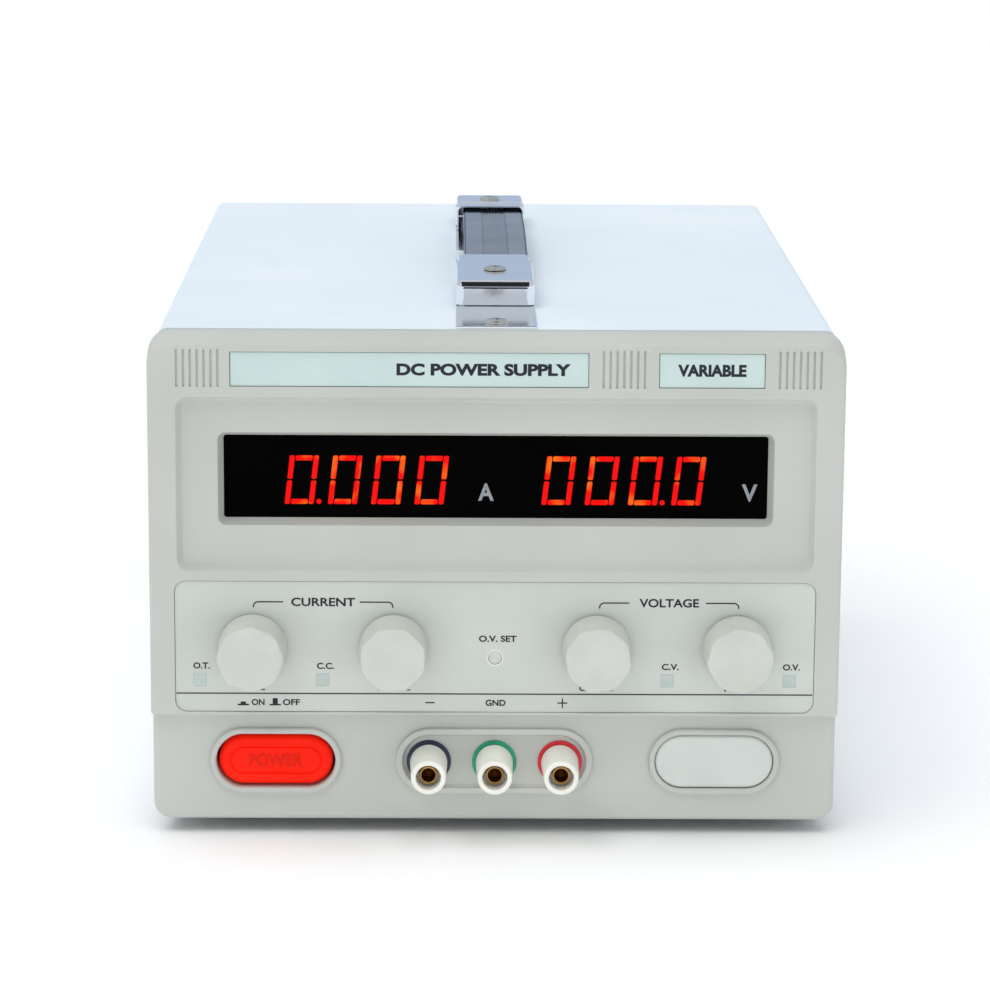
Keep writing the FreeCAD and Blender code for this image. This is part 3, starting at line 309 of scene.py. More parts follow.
# yellow polyester winding tape in overlapping turns
windingTape = finish("polyester_tape", {
    "colours": ("#C9A537", "#D8B648"), "cloud": 10, "grain": 0.7, "relief": 0.12, "bump": 0.6,
    "rough": (0.28, 0.4), "bands": {"along": "Z", "pitch": 9.0, "strength": 0.8, "wander": 0.6}})
# extruded aluminium with draw lines
extrudedAluminium = finish("extruded_aluminium", {
    "colours": ("#B4B7BA", "#C6C9CB"), "cloud": 12, "grain": 0.6, "relief": 0.02, "bump": 0.5,
    "rough": (0.3, 0.45), "shader": {"Metallic": 1.0},
    "bands": {"along": "Z", "pitch": 0.6, "strength": 0.5, "wander": 0.3}})
# shrunk PVC sleeve: dark blue and glossy
capacitorSleeve = finish("shrunk_pvc_sleeve", {
    "colours": ("#1C2C52", "#24365F"), "cloud": 9, "grain": 0.9, "relief": 0.04, "bump": 0.4,
    "rough": (0.22, 0.34)})
# drawn glass tube of the fuse
fuseGlass = finish("drawn_glass", {
    "colours": ("#BFCBCB", "#D3DDDD"), "cloud": 4, "grain": 2.0, "relief": 0.005, "bump": 0.2,
    "rough": (0.04, 0.1), "shader": {"IOR": 1.5}})
# unlit display segments, all but black behind the window
unlitSegment = finish("unlit_display_segment", {
    "colours": ("#060202", "#080303"), "cloud": 6, "grain": 0.4, "relief": 0.005, "bump": 0.2,
    "rough": (0.3, 0.4),
    "shader": {"Specular IOR Level": 0.01}})


def litMaterial():
    # lit display segments: red, with hotter orange patches where the chips sit
    material = bpy.data.materials.new("lit_display_segment")
    material.use_nodes = True
    tree = material.node_tree
    shader = tree.nodes["Principled BSDF"]
    shader.inputs["Base Color"].default_value = hexColour("#200400")
    shader.inputs["Roughness"].default_value = 0.4
    shader.inputs["Specular IOR Level"].default_value = 0.01
    shader.inputs["Emission Strength"].default_value = 1.0
    place = addNode(tree, "ShaderNodeTexCoord").outputs["Object"]
    patches = addNode(tree, "ShaderNodeTexNoise", {"Scale": 1000 / 8.5, "Detail": 1.0}, {"Vector": place})
    share = addNode(tree, "ShaderNodeMapRange", {"From Min": 0.55, "From Max": 0.72},
                    {"Value": patches.outputs["Fac"]})
    glow = addNode(tree, "ShaderNodeMix",
                   {"data_type": "RGBA", 6: hexColour("#FA1414"), 7: hexColour("#FF7020")},
                   {0: share.outputs["Result"]})
    tree.links.new(glow.outputs[2], shader.inputs["Emission Color"])
    return material


litSegment = litMaterial()
print("materials ready")


# mesh helpers

def softProfile(points, steps=4):
    # points are (offset, rise) or (offset, rise, radius), and a radius rounds that corner
    result = []
    for index, point in enumerate(points):
        corner = Vector(point[:2])
        if len(point) == 2 or index in (0, len(points) - 1):
            result.append(corner)
            continue
        before = (Vector(points[index - 1][:2]) - corner).normalized()
        after = (Vector(points[index + 1][:2]) - corner).normalized()
        half = before.angle(after) / 2
        centre = corner + (before + after).normalized() * point[2] / math.sin(half)
        reach = point[2] / math.tan(half)
        start = corner + before * reach - centre
        end = corner + after * reach - centre
        for step in range(steps + 1):
            result.append(centre + start.lerp(end, step / steps).normalized() * point[2])
    return result


def sweep(profile, width=0.0, height=0.0, corners=0.0, steps=12, form=None):
    # loops of one rounded outline, a loop for each (offset from the outline, rise) of the profile
    radii = corners if isinstance(corners, tuple) else (corners,) * 4
    sides = ((1, 1), (-1, 1), (-1, -1), (1, -1))
    bm = bmesh.new()
    rail = bm.verts.layers.int.new("rail")
    count = 4 * (steps + 1)

    def spotOf(index, offset, rise):
        quarter, part = divmod(index, steps + 1)
        angle = math.radians(90 * (quarter + part / steps))
        side = Vector(sides[quarter])
        anchor = Vector((side.x * (width / 2 - radii[quarter]), side.y * (height / 2 - radii[quarter])))
        reach = radii[quarter] + offset
        if form:
            reach = form(angle, reach, rise)
        spot = anchor + (Vector((math.cos(angle), math.sin(angle))) * reach if reach > 0 else side * reach)
        return mm(spot.x), mm(spot.y), mm(rise)

    fresh = bmesh.ops.create_circle(bm, segments=count, radius=1)["verts"]
    for index, vert in enumerate(fresh):
        vert[rail] = index
    loop = bm.edges[:]
    for number, (offset, rise) in enumerate(profile):
        if number:
            made = bmesh.ops.extrude_edge_only(bm, edges=loop)["geom"]
            loop = [item for item in made if isinstance(item, bmesh.types.BMEdge)]
            fresh = [item for item in made if isinstance(item, bmesh.types.BMVert)]
        for vert in fresh:
            vert.co = spotOf(vert[rail], offset, rise)
    bmesh.ops.remove_doubles(bm, verts=bm.verts, dist=mm(0.0005))
    bmesh.ops.holes_fill(bm, edges=bm.edges, sides=0)
    bmesh.ops.recalc_face_normals(bm, faces=bm.faces)
    return bm


def together(*shapes):
    # several shells in one mesh
    target = shapes[0]
    for shape in shapes[1:]:
        part = bpy.data.meshes.new("part")
        shape.to_mesh(part)
        shape.free()
        target.from_mesh(part)
        bpy.data.meshes.remove(part)
    return target


def again(shape, matrices):
    # one shape repeated at several places
    part = bpy.data.meshes.new("part")
    shape.to_mesh(part)
    shape.free()
    target = bmesh.new()
    for matrix in matrices:
        copy = bmesh.new()
        copy.from_mesh(part)
        copy.transform(matrix)
        together(target, copy)
    bpy.data.meshes.remove(part)
    return target


def plainObject(name, bm):
    mesh = bpy.data.meshes.new(name)
    bm.to_mesh(mesh)
    bm.free()
    thing = bpy.data.objects.new(name, mesh)
    bpy.context.scene.collection.objects.link(thing)
    return thing


def applied(thing):
    # the mesh with its modifiers worked in
    bpy.context.view_layer.update()
    shaped = bpy.data.meshes.new_from_object(thing.evaluated_get(bpy.context.evaluated_depsgraph_get()))
    old = thing.data
    thing.modifiers.clear()
    thing.data = shaped
    bpy.data.meshes.remove(old)
    return thing


def joined(base, tool, operation):
    # base is a bmesh, cut by or fused with another one
    first = plainObject("base", base)
    second = plainObject("tool", tool)
    step = first.modifiers.new("step", "BOOLEAN")
    step.operation = operation
    step.solver = "EXACT"
    step.use_self = operation == "DIFFERENCE"
    step.object = second
    applied(first)
    result = bmesh.new()
    result.from_mesh(first.data)
    for thing in (first, second):
        mesh = thing.data
        bpy.data.objects.remove(thing)
        bpy.data.meshes.remove(mesh)
    bmesh.ops.remove_doubles(result, verts=result.verts, dist=mm(0.001))
    return result


def piece(name, bm, material, body="case", stands=(), sharp=32, between=None):
    # a finished piece that rides on its body and takes the place of CAD nodes; given two bodies to lie
    # between, it is only fixed in place
    thing = plainObject(name, bm)
    thing.data.materials.clear()
    thing.data.materials.append(material)
    thing.data.polygons.foreach_set("material_index", [0] * len(thing.data.polygons))
    thing.data.shade_smooth()
    thing.data.set_sharp_from_angle(angle=math.radians(sharp))
    if between:
        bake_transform(thing)
    else:
        # large flat faces keep their own shading beside small rounds
        even = thing.modifiers.new("even", "WEIGHTED_NORMAL")
        even.keep_sharp = True
        applied(thing)
        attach(thing, body)
    if stands:
        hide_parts(*stands)
    return thing


# studio: camera, floor and light

view = {"lens": 132.17, "sensor": 36.0, "x": -17.2, "y": -1530.1, "z": 427.4, "down": 12.17, "right": 0.71,
        "roll": 0.38}


def makeCamera():
    data = bpy.data.cameras.new("studio_camera")
    data.lens = view["lens"]
    data.sensor_width = view["sensor"]
    camera = bpy.data.objects.new("studio_camera", data)
    bpy.context.scene.collection.objects.link(camera)
    turn = (Matrix.Rotation(-math.radians(view["right"]), 4, "Z")
            @ Matrix.Rotation(math.radians(90 - view["down"]), 4, "X")
            @ Matrix.Rotation(math.radians(view["roll"]), 4, "Z"))
    camera.matrix_world = Matrix.Translation((mm(view["x"]), mm(view["y"]), mm(view["z"]))) @ turn
    bpy.context.scene.camera = camera


studio = {"floor": 16.0, "paper": "#FFFFFF", "sun": 1.7, "sunSoft": 60, "sunSide": -38, "sunHigh": 75,
          "skyTint": "#F6F8FC", "sky": 0.66, "backTint": "#D4E6FF", "backTowards": (0, 0.98, 0.2),
          "backFrom": 0.8, "backFull": 0.98, "roomDark": 0.02, "roomWide": 0.3, "roomCore": 0.7,
          "roomLow": 18, "roomTop": 92, "roomSoft": 5, "boxPower": 0.4, "boxAim": 20, "boxSize": (0.9, 0.07),
          "boxPlace": (0, -0.62, 0.045)}


def makeFloor():
    bm = bmesh.new()
    bmesh.ops.create_grid(bm, x_segments=8, y_segments=8, size=studio["floor"] / 2)
    floor = plainObject("studio_floor", bm)
    floor.data.transform(Matrix.Translation((0, 0, cadBox[0][2] - mm(0.05))))
    paper = bpy.data.materials.new("white_paper")
    paper.use_nodes = True
    shader = paper.node_tree.nodes["Principled BSDF"]
    shader.inputs["Base Color"].default_value = hexColour(studio["paper"])
    shader.inputs["Roughness"].default_value = 0.9
    shader.inputs["Specular IOR Level"].default_value = 0.1
    floor.data.materials.append(paper)


def makeLamps():
    # a broad soft sun and a low box light in front, neither of which polished metal shows
    lamp = bpy.data.lights.new("soft_key", "SUN")
    lamp.energy = studio["sun"]
    lamp.angle = math.radians(studio["sunSoft"])
    key = bpy.data.objects.new("soft_key", lamp)
    key.visible_glossy = False
    key.rotation_euler = (math.radians(90 - studio["sunHigh"]), 0, math.radians(studio["sunSide"]))
    bpy.context.scene.collection.objects.link(key)
    box = bpy.data.lights.new("front_box", "AREA")
    box.shape = "RECTANGLE"
    box.size, box.size_y = studio["boxSize"]
    box.energy = studio["boxPower"]
    front = bpy.data.objects.new("front_box", box)
    front.visible_glossy = False
    front.visible_camera = False
    place = Vector(studio["boxPlace"])
    aim = Vector((0, frontPlane, mm(studio["boxAim"]))) - place
    front.matrix_world = Matrix.Translation(place) @ aim.to_track_quat("-Z", "Y").to_matrix().to_4x4()
    bpy.context.scene.collection.objects.link(front)


def makeWorld():
    world = bpy.data.worlds.new("studio_sky")
    bpy.context.scene.world = world
    world.use_nodes = True
    tree = world.node_tree
    way = addNode(tree, "ShaderNodeTexCoord").outputs["Generated"]

    def eased(value, start, full):
        # nought at start and one at full
        ramp = addNode(tree, "ShaderNodeMapRange", {"From Min": start, "From Max": full}, {"Value": value})
        return ramp.outputs["Result"]

    def times(first, second):
        return addNode(tree, "ShaderNodeMath", {"operation": "MULTIPLY"},
                       {0: first, 1: second}).outputs["Value"]

    # the dark room over the camera, a strip which polished metal shows
    parts = addNode(tree, "ShaderNodeSeparateXYZ", {}, {0: way})
    forwards = addNode(tree, "ShaderNodeMath", {"operation": "MULTIPLY", 1: -1.0}, {0: parts.outputs["Y"]})
    climb = addNode(tree, "ShaderNodeMath", {"operation": "ARCTAN2"},
                    {0: parts.outputs["Z"], 1: forwards.outputs["Value"]}).outputs["Value"]
    across = addNode(tree, "ShaderNodeMath", {"operation": "ABSOLUTE"},
                     {0: parts.outputs["X"]}).outputs["Value"]
    low, top, soft = (math.radians(studio[name]) for name in ("roomLow", "roomTop", "roomSoft"))
    rising = eased(climb, low, low + soft)
    falling = eased(climb, top + soft, top)
    inside = eased(across, studio["roomWide"], studio["roomWide"] * studio["roomCore"])
    room = addNode(tree, "ShaderNodeMapRange", {"To Min": studio["sky"], "To Max": studio["roomDark"]},
                   {"Value": times(times(rising, falling), inside)})
    # a cooler wall low behind the object
    behind = addNode(tree, "ShaderNodeVectorMath", {"operation": "DOT_PRODUCT", 1: studio["backTowards"]},
                     {0: way})
    cool = addNode(tree, "ShaderNodeMapRange",
                   {"interpolation_type": "SMOOTHSTEP", "From Min": studio["backFrom"],
                    "From Max": studio["backFull"]}, {"Value": behind.outputs["Value"]})
    tint = addNode(tree, "ShaderNodeMix",
                   {"data_type": "RGBA", 6: hexColour(studio["skyTint"]), 7: hexColour(studio["backTint"])},
                   {0: cool.outputs["Result"]})
    tree.links.new(tint.outputs[2], tree.nodes["Background"].inputs["Color"])
    tree.links.new(room.outputs["Result"], tree.nodes["Background"].inputs["Strength"])
    bpy.context.scene.view_settings.view_transform = "Standard"


makeCamera()
makeFloor()
makeLamps()
makeWorld()
print("studio ready")


# front moulding

bezel = {
    "upperFoot": 42.6, "topCorner": 8.5, "upperFootCorner": 1.5, "slab": 12.0, "edge": 1.3,
    "slopeDepth": 8.0, "slopeDrop": 4.4, "lowerBack": 3.5, "lowerInset": 0.4, "lowerCorner": 7.0,
    "lowerEdge": 2.0,
    "lipInset": 5.2, "lipBack": 28.0, "wall": 2.4, "cavity": 9.0, "shaftHole": 5.2, "trimmerHole": 2.6,
}
recess = {"halfWidth": 121.5, "low": 100.3, "high": 167.3, "corner": 4.3, "deep": 3.5, "draft": 1.6,
          "rim": 0.7}
opening = {"halfWidth": 106.0, "low": 117.3, "high": 153.2, "corner": 3.0, "draft": 2.2, "rim": 0.4}
grooves = {"centres": (-113.4, 48.2, 115.0), "count": 7, "pitch": 2.6, "width": 0.9, "low": 171.5,
           "high": 186.0,
           "deep": 0.7, "rim": 0.0}
stripPocket = {"low": 171.6, "high": 185.0, "limits": ((-101.1, 34.9), (61.4, 101.7)), "deep": 1.6,
               "rim": 0.15}
overlayPocket = {"halfWidth": 123.0, "low": 44.2, "high": 96.0, "corner": 4.5, "deep": 1.3, "rim": 0.25}
ovals = {"height": 24.1, "ringAt": (-84.6, 85.2), "ringHole": (48.8, 23.4), "surroundHole": (74.2, 22.9)}


def pocket(values, left, right, low, high, corner, floor=0.0, front=0.0):
    # a cutter whose rim, if it has one, flares in a small arc where it meets the face that it opens in
    rim = values["rim"]
    profile = [(rim, 3.0)]
    for step in range(5 if rim else 1):
        angle = math.radians(90 * step / 4)
        profile.append((rim * (1 - math.sin(angle)), -rim * (1 - math.cos(angle))))
    deep = values["deep"] - front
    draft = values.get("draft", 0.0)
    if floor:
        slope = draft / deep
        profile.append((-draft + slope * floor, -deep + floor))
    profile.append((-draft - floor * 0.3, -deep + floor * 0.3) if floor else (-draft, -deep))
    if floor:
        profile.append((-draft - floor, -deep))
    cutter = sweep(profile, right - left, high - low, corner, steps=8)
    return placed(cutter, at((left + right) / 2, front, (low + high) / 2))


def makeBezelBody():
    upperHeight = (bezelHigh[2] - bezelFoot) * 1000 - bezel["upperFoot"]
    width = (bezelHigh[0] - bezelLow[0]) * 1000
    edge = bezel["edge"]
    profile = [(-0.5, -bezel["slab"]), (0.0, -bezel["slab"] + 0.5)]
    profile += [(0.0, -bezel["slopeDepth"] + 0.8 * step) for step in range(9)]
    for step in range(6):
        angle = math.radians(90 * step / 5)
        profile.append((-edge * (1 - math.cos(angle)), -edge * (1 - math.sin(angle))))
    upper = sweep(profile, width, upperHeight,
                  (bezel["topCorner"], bezel["topCorner"], bezel["upperFootCorner"],
                   bezel["upperFootCorner"]))
    for vert in upper.verts:
        # the long slope along the top edge, easing in where it leaves the top
        if vert.co.y > 0:
            run = max(0.0, 1 + vert.co.z * 1000 / bezel["slopeDepth"])
            share = min(1.0, vert.co.y / mm(upperHeight / 2 - bezel["topCorner"]))
            vert.co.y -= mm(bezel["slopeDrop"]) * run ** 1.35 * share
    placed(upper, at(0, 0, bezel["upperFoot"] + upperHeight / 2))
    lowerHeight = bezel["upperFoot"] + 3
    corner = bezel["lowerCorner"]
    run = bezel["slab"] - bezel["lowerBack"]
    profile = softProfile([(-0.5, -run), (0, -run + 0.5), (0, 0, bezel["lowerEdge"]), (-4, 0)], 6)
    lower = sweep(profile, width - 2 * bezel["lowerInset"], lowerHeight, (0.5, 0.5, corner, corner))
    placed(lower, at(0, bezel["lowerBack"], lowerHeight / 2))
    inset = bezel["lipInset"]
    lipHeight = upperHeight + bezel["upperFoot"] - 2.2 - inset
    lip = sweep([(0, -bezel["lipBack"]), (0, -6)], width - 2 * inset, lipHeight, 3.0, steps=6)
    placed(lip, at(0, 0, inset + lipHeight / 2))
    body = joined(upper, lower, "UNION")
    return joined(body, lip, "UNION")


def makeBezelCutters():
    cutters = [pocket(recess, -recess["halfWidth"], recess["halfWidth"], recess["low"], recess["high"],
                      recess["corner"], floor=0.5)]
    cutters += [pocket(stripPocket, left, right, stripPocket["low"], stripPocket["high"], 0.3)
                for left, right in stripPocket["limits"]]
    cutters.append(pocket(overlayPocket, -overlayPocket["halfWidth"], overlayPocket["halfWidth"],
                          overlayPocket["low"], overlayPocket["high"], overlayPocket["corner"]))
    for centre in grooves["centres"]:
        for index in range(grooves["count"]):
            x = centre + (index - (grooves["count"] - 1) / 2) * grooves["pitch"]
            half = grooves["width"] / 2
            cutters.append(pocket(grooves, x - half, x + half, grooves["low"], grooves["high"], half))
    return together(*cutters)


def makeBezelOpenings():
    through = {"deep": bezel["lipBack"] + 2, "rim": 0.2}
    window = dict(opening, deep=bezel["cavity"] + 1)
    openings = [pocket(window, -opening["halfWidth"], opening["halfWidth"], opening["low"], opening["high"],
                       opening["corner"], front=recess["deep"])]
    for x in ovals["ringAt"]:
        wide, tall = ovals["ringHole"]
        openings.append(pocket(through, x - wide / 2, x + wide / 2, ovals["height"] - tall / 2,
                               ovals["height"] + tall / 2, tall / 2, front=bezel["lowerBack"]))
    wide, tall = ovals["surroundHole"]
    openings.append(pocket(through, -wide / 2, wide / 2, ovals["height"] - tall / 2,
                           ovals["height"] + tall / 2,
                           tall / 2, front=bezel["lowerBack"]))
    return together(*openings)


def makeBezelCavity():
    inset = bezel["lipInset"] + bezel["wall"]
    wide = (bezelHigh[0] - bezelLow[0]) * 1000 - 2 * inset
    tall = (bezelHigh[2] - bezelFoot) * 1000 - 2 * inset
    cavity = sweep([(0, -bezel["lipBack"] - 2), (0, -bezel["cavity"])], wide, tall, 2.0, steps=4)
    return placed(cavity, at(0, 0, inset + tall / 2))


def makeBezel():
    body = makeBezelBody()
    body = joined(body, makeBezelCavity(), "DIFFERENCE")
    body = joined(body, makeBezelCutters(), "DIFFERENCE")
    body = joined(body, makeBezelOpenings(), "DIFFERENCE")
    holes = []
    fits = [(name + "_knob", bezel["shaftHole"]) for name in knobNames]
    fits.append(("trimmer_screw", bezel["trimmerHole"]))
    for node, reach in fits:
        holes.append(placed(sweep([(reach, -20), (reach, 3)], steps=6), inFront(node)))
    body = joined(body, together(*holes), "DIFFERENCE")
    piece("bezel_moulding", body, bezelAbs, stands=("front_bezel",))


knobNames = ("current_fine", "current_coarse", "voltage_coarse", "voltage_fine")
makeBezel()
print("bezel ready")


# lettering and printed lines

def letterMesh(words, weight=0.0):
    # letters of the built-in font at size 1, with their lower left corner at the origin
    curve = bpy.data.curves.new("letters", "FONT")
    curve.body = words
    curve.offset = weight
    curve.resolution_u = 4
    carrier = bpy.data.objects.new("letters", curve)
    bpy.context.scene.collection.objects.link(carrier)
    bpy.context.view_layer.update()
    flat = bpy.data.meshes.new_from_object(carrier.evaluated_get(bpy.context.evaluated_depsgraph_get()))
    bm = bmesh.new()
    bm.from_mesh(flat)
    bpy.data.objects.remove(carrier)
    bpy.data.curves.remove(curve)
    bpy.data.meshes.remove(flat)
    low = [min(vert.co[axis] for vert in bm.verts) for axis in (0, 1)]
    bmesh.ops.translate(bm, verts=bm.verts, vec=(-low[0], -low[1], 0))
    return bm


def letters(words, x, depth, height, tall, wide, thick=0.05, weight=0.0):
    # words centred at x and height, stretched to a width and a letter height in millimetres
    bm = letterMesh(words, weight)
    top = max(vert.co.y for vert in bm.verts)
    far = max(vert.co.x for vert in bm.verts)
    bmesh.ops.scale(bm, verts=bm.verts, vec=(mm(wide) / far, mm(tall) / top, 1))
    bmesh.ops.translate(bm, verts=bm.verts, vec=(-mm(wide) / 2, -mm(tall) / 2, 0))
    grown = bmesh.ops.extrude_face_region(bm, geom=bm.faces)["geom"]
    raised = [item for item in grown if isinstance(item, bmesh.types.BMVert)]
    bmesh.ops.translate(bm, verts=raised, vec=(0, 0, mm(thick)))
    bmesh.ops.recalc_face_normals(bm, faces=bm.faces)
    return placed(bm, at(x, depth, height))


def bar(x, depth, height, wide, tall, thick=0.05):
    # a printed block
    return placed(sweep([(0, 0), (0, thick)], wide, tall, min(wide, tall) * 0.1, steps=1),
                  at(x, depth, height))


def inkLine(points, depth, bend, wide=0.5, thick=0.05):
    # a printed line through (x, height) points, its inner corner rounded
    bm = bmesh.new()
    chain = [bm.verts.new((mm(x), mm(height), 0)) for x, height in points]
    for first, second in zip(chain, chain[1:]):
        bm.edges.new((first, second))
    bmesh.ops.bevel(bm, geom=chain[1:-1], offset=mm(bend), segments=6, affect="VERTICES", profile=0.5,
                    material=-1)
    line = plainObject("line", bm)
    skin = line.modifiers.new("skin", "SKIN")
    skin.use_smooth_shade = False
    for vertex in line.data.skin_vertices[0].data:
        vertex.radius = (mm(wide) / 2, mm(wide) / 2)
    applied(line)
    bm = bmesh.new()
    bm.from_mesh(line.data)
    bpy.data.objects.remove(line)
    bmesh.ops.scale(bm, verts=bm.verts, vec=(1, 1, 2 * thick / wide))
    return placed(bm, at(0, depth, 0))


legend = {"front": 0.5, "title": 3.4, "small": 2.5, "titleAt": 87.8, "statusAt": 62.5, "rowAt": 48.0,
          "ruleAt": 51.5, "ruleThick": 0.5}
titles = (("CURRENT", -66.0, 24.5), ("VOLTAGE", 66.7, 22.9))
statusWords = (("O.T.", -112.8, 6.4), ("C.C.", -65.2, 6.6), ("C.V.", 67.5, 6.6), ("O.V.", 114.2, 6.6))
bracketLines = ((-81.3, -92.7), (-52.0, -39.3), (51.4, 40.0), (80.8, 93.4))


def makeLegends():
    front = legend["front"]
    prints = [letters(words, x, front, legend["titleAt"], legend["title"], wide, weight=0.024)
              for words, x, wide in titles]
    prints += [letters(words, x, front, legend["statusAt"], legend["small"], wide, weight=0.03)
               for words, x, wide in statusWords]
    for inner, outer in bracketLines:
        prints.append(inkLine(((inner, legend["titleAt"]), (outer, legend["titleAt"]),
                               (outer, legend["titleAt"] - 2.2)), front, 1.8))
    prints.append(letters("O.V. SET", 1.0, front, 73.5, legend["small"], 14.5, weight=0.03))
    prints.append(bar(0, front, legend["ruleAt"], 2 * overlayPocket["halfWidth"] - 0.8, legend["ruleThick"]))
    row = legend["rowAt"]
    prints += [letters("ON", -91.2, front, row, legend["small"], 5.0, weight=0.03),
               letters("OFF", -78.4, front, row, legend["small"], 6.6, weight=0.03),
               letters("GND", 0.3, front, row, legend["small"], 7.8, weight=0.03)]
    for x, block in ((-96.9, 0.9), (-84.6, 2.3)):
        # the push button's two states: pressed, then standing out
        prints.append(bar(x, front, row - 1.0, 4.4, 0.6))
        prints.append(bar(x, front, row - 0.7 + block / 2, 2.0, block))
    prints += [bar(-25.0, front, row, 3.6, 0.5), bar(26.1, front, row, 3.8, 0.5),
               bar(26.1, front, row, 0.5, 3.8)]
    for x, words, wide in ((-93.0, "FINE", 9.0), (-39.0, "COARSE", 13.0), (39.0, "COARSE", 13.0),
                           (93.0, "FINE", 9.0)):
        prints.append(letters(words, x, front, 53.9, 2.2, wide, weight=0.03))
    piece("overlay_lettering", together(*prints), screenInk)


overlay = {"front": 0.5, "thick": 0.8, "corner": 4.3, "window": 5.1, "windowAt": 66.3, "windowIn": 2.5,
           "shaftHole": 4.8, "trimmerHole": 2.75, "rimHighlight": 0.5}


def makeOverlay():
    wide, tall = extent("control_overlay").x, extent("control_overlay").z
    profile = softProfile([(0, -overlay["thick"]), (0, 0, 0.15), (-1, 0)], 3)
    panel = placed(sweep(profile, wide, tall, overlay["corner"]),
                   inFront("control_overlay", overlay["front"]))
    fits = [("trimmer_screw", overlay["trimmerHole"])]
    fits += [(name + "_knob", overlay["shaftHole"]) for name in knobNames]
    holes = [placed(sweep([(reach, -3), (reach, 3)], steps=6), inFront(node)) for node, reach in fits]
    low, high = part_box("indicator_windows")
    edge, inner, side = mm(overlay["windowIn"]), mm(overlay["windowAt"]), overlay["window"]
    for x in (low[0] + edge, -inner, inner, high[0] - edge):
        hole = sweep([(0, -3), (0, 3)], side, side, 0.2, steps=2)
        holes.append(placed(hole, Vector((x, frontPlane, middle("indicator_windows").z))))
    panel = joined(panel, together(*holes), "DIFFERENCE")
    piece("overlay_panel", panel, overlayPolyester, stands=("control_overlay",))
    # painted highlight: a white ring round the trimmer hole in place of light on its rim
    reach = overlay["trimmerHole"]
    far = reach + overlay["rimHighlight"]
    ring = sweep([(reach, 0), (reach, 0.06), (far, 0.06), (far, 0), (reach, 0)], steps=10)
    piece("trimmer_painted_rim_highlight", placed(ring, inFront("trimmer_screw", overlay["front"])), rimHighlightPaint)


trimmer = {"skirt": 0.25, "round": 0.3, "slot": 0.12, "slotWide": 0.5}


def makeTrimmer():
    size = extent("trimmer_screw")
    radius = size.x / 2 + trimmer["skirt"]
    outline = softProfile([(0, -size.y), (radius, -size.y), (radius, 0, trimmer["round"]), (0, 0)], 4)
    slot = sweep([(0, -trimmer["slot"]), (0, 1)], radius * 1.5, trimmer["slotWide"], 0.2, steps=3)
    screw = joined(sweep(outline, steps=12), slot, "DIFFERENCE")
    piece("trimmer_screw_moulding", placed(screw, frontOf("trimmer_screw")), trimmerNylon,
          body="trimmer_screw",
          stands=("trimmer_screw",))


strips = {"gap": 0.28, "front": 0.6, "thick": 1.0, "wordsAt": 178.4, "wordsTall": 4.7}


def makeStrips():
    for node, words, x, wide in (("left_name_strip", "DC POWER SUPPLY", -5.0, 66.0),
                                 ("right_name_strip", "VARIABLE", 81.5, 26.0)):
        size = extent(node)
        profile = softProfile([(0, -strips["thick"]), (0, 0, 0.12), (-1, 0)], 2)
        plate = sweep(profile, size.x - strips["gap"], size.z - strips["gap"], 0.3, steps=3)
        placed(plate, inFront(node, strips["front"]))
        piece(node + "_plate", plate, stripPolyester, stands=(node,))
        text = letters(words, x, strips["front"], strips["wordsAt"], strips["wordsTall"], wide, weight=0.045)
        piece(node + "_lettering", text, screenInk)


makeOverlay()
makeTrimmer()
makeLegends()
makeStrips()
print("front print ready")


# display

display = {"pane": 9.0, "thick": 2.5, "corner": 2.0, "digitTall": 19.0, "digitWide": 11.2, "stroke": 2.0,
           "nick": 0.55, "dotGap": 0.9,
           "lean": 6.5, "centre": 133.9, "gap": 0.32, "rows": ((-74.3, 16.57, 0), (24.1, 16.61, 2)),
           "digits": 4,
           "units": (("A", -3.8), ("V", 97.3)), "unitAt": 129.3, "unitSize": (6.8, 6.0)}


def digitBars():
    # the seven bars as (x, z, length, upright), clockwise from the top, the middle one last
    stroke, gap = display["stroke"], display["gap"]
    wide = display["digitWide"] - stroke
    tall = (display["digitTall"] - stroke) / 2
    across = wide - stroke - 2 * gap
    upright = display["digitTall"] / 2 - gap
    high = upright / 2 + gap
    return ((0, tall, across, False), (wide / 2, high, upright, True), (wide / 2, -high, upright, True),
            (0, -tall, across, False), (-wide / 2, -high, upright, True), (-wide / 2, high, upright, True),
            (0, 0, across, False))


def leaned(bm, x):
    for vert in bm.verts:
        vert.co.x += math.tan(math.radians(display["lean"])) * vert.co.y
    bmesh.ops.recalc_face_normals(bm, faces=bm.faces)
    return placed(bm, at(x, display["pane"], display["centre"]))


def segmentShape(length, x, z, upright):
    wide, tall = (display["stroke"], length) if upright else (length, display["stroke"])
    bm = sweep([(0, 0.02), (0, 0.08)], wide, tall, display["nick"], steps=2)
    bmesh.ops.translate(bm, verts=bm.verts, vec=(mm(x), mm(z), 0))
    return bm


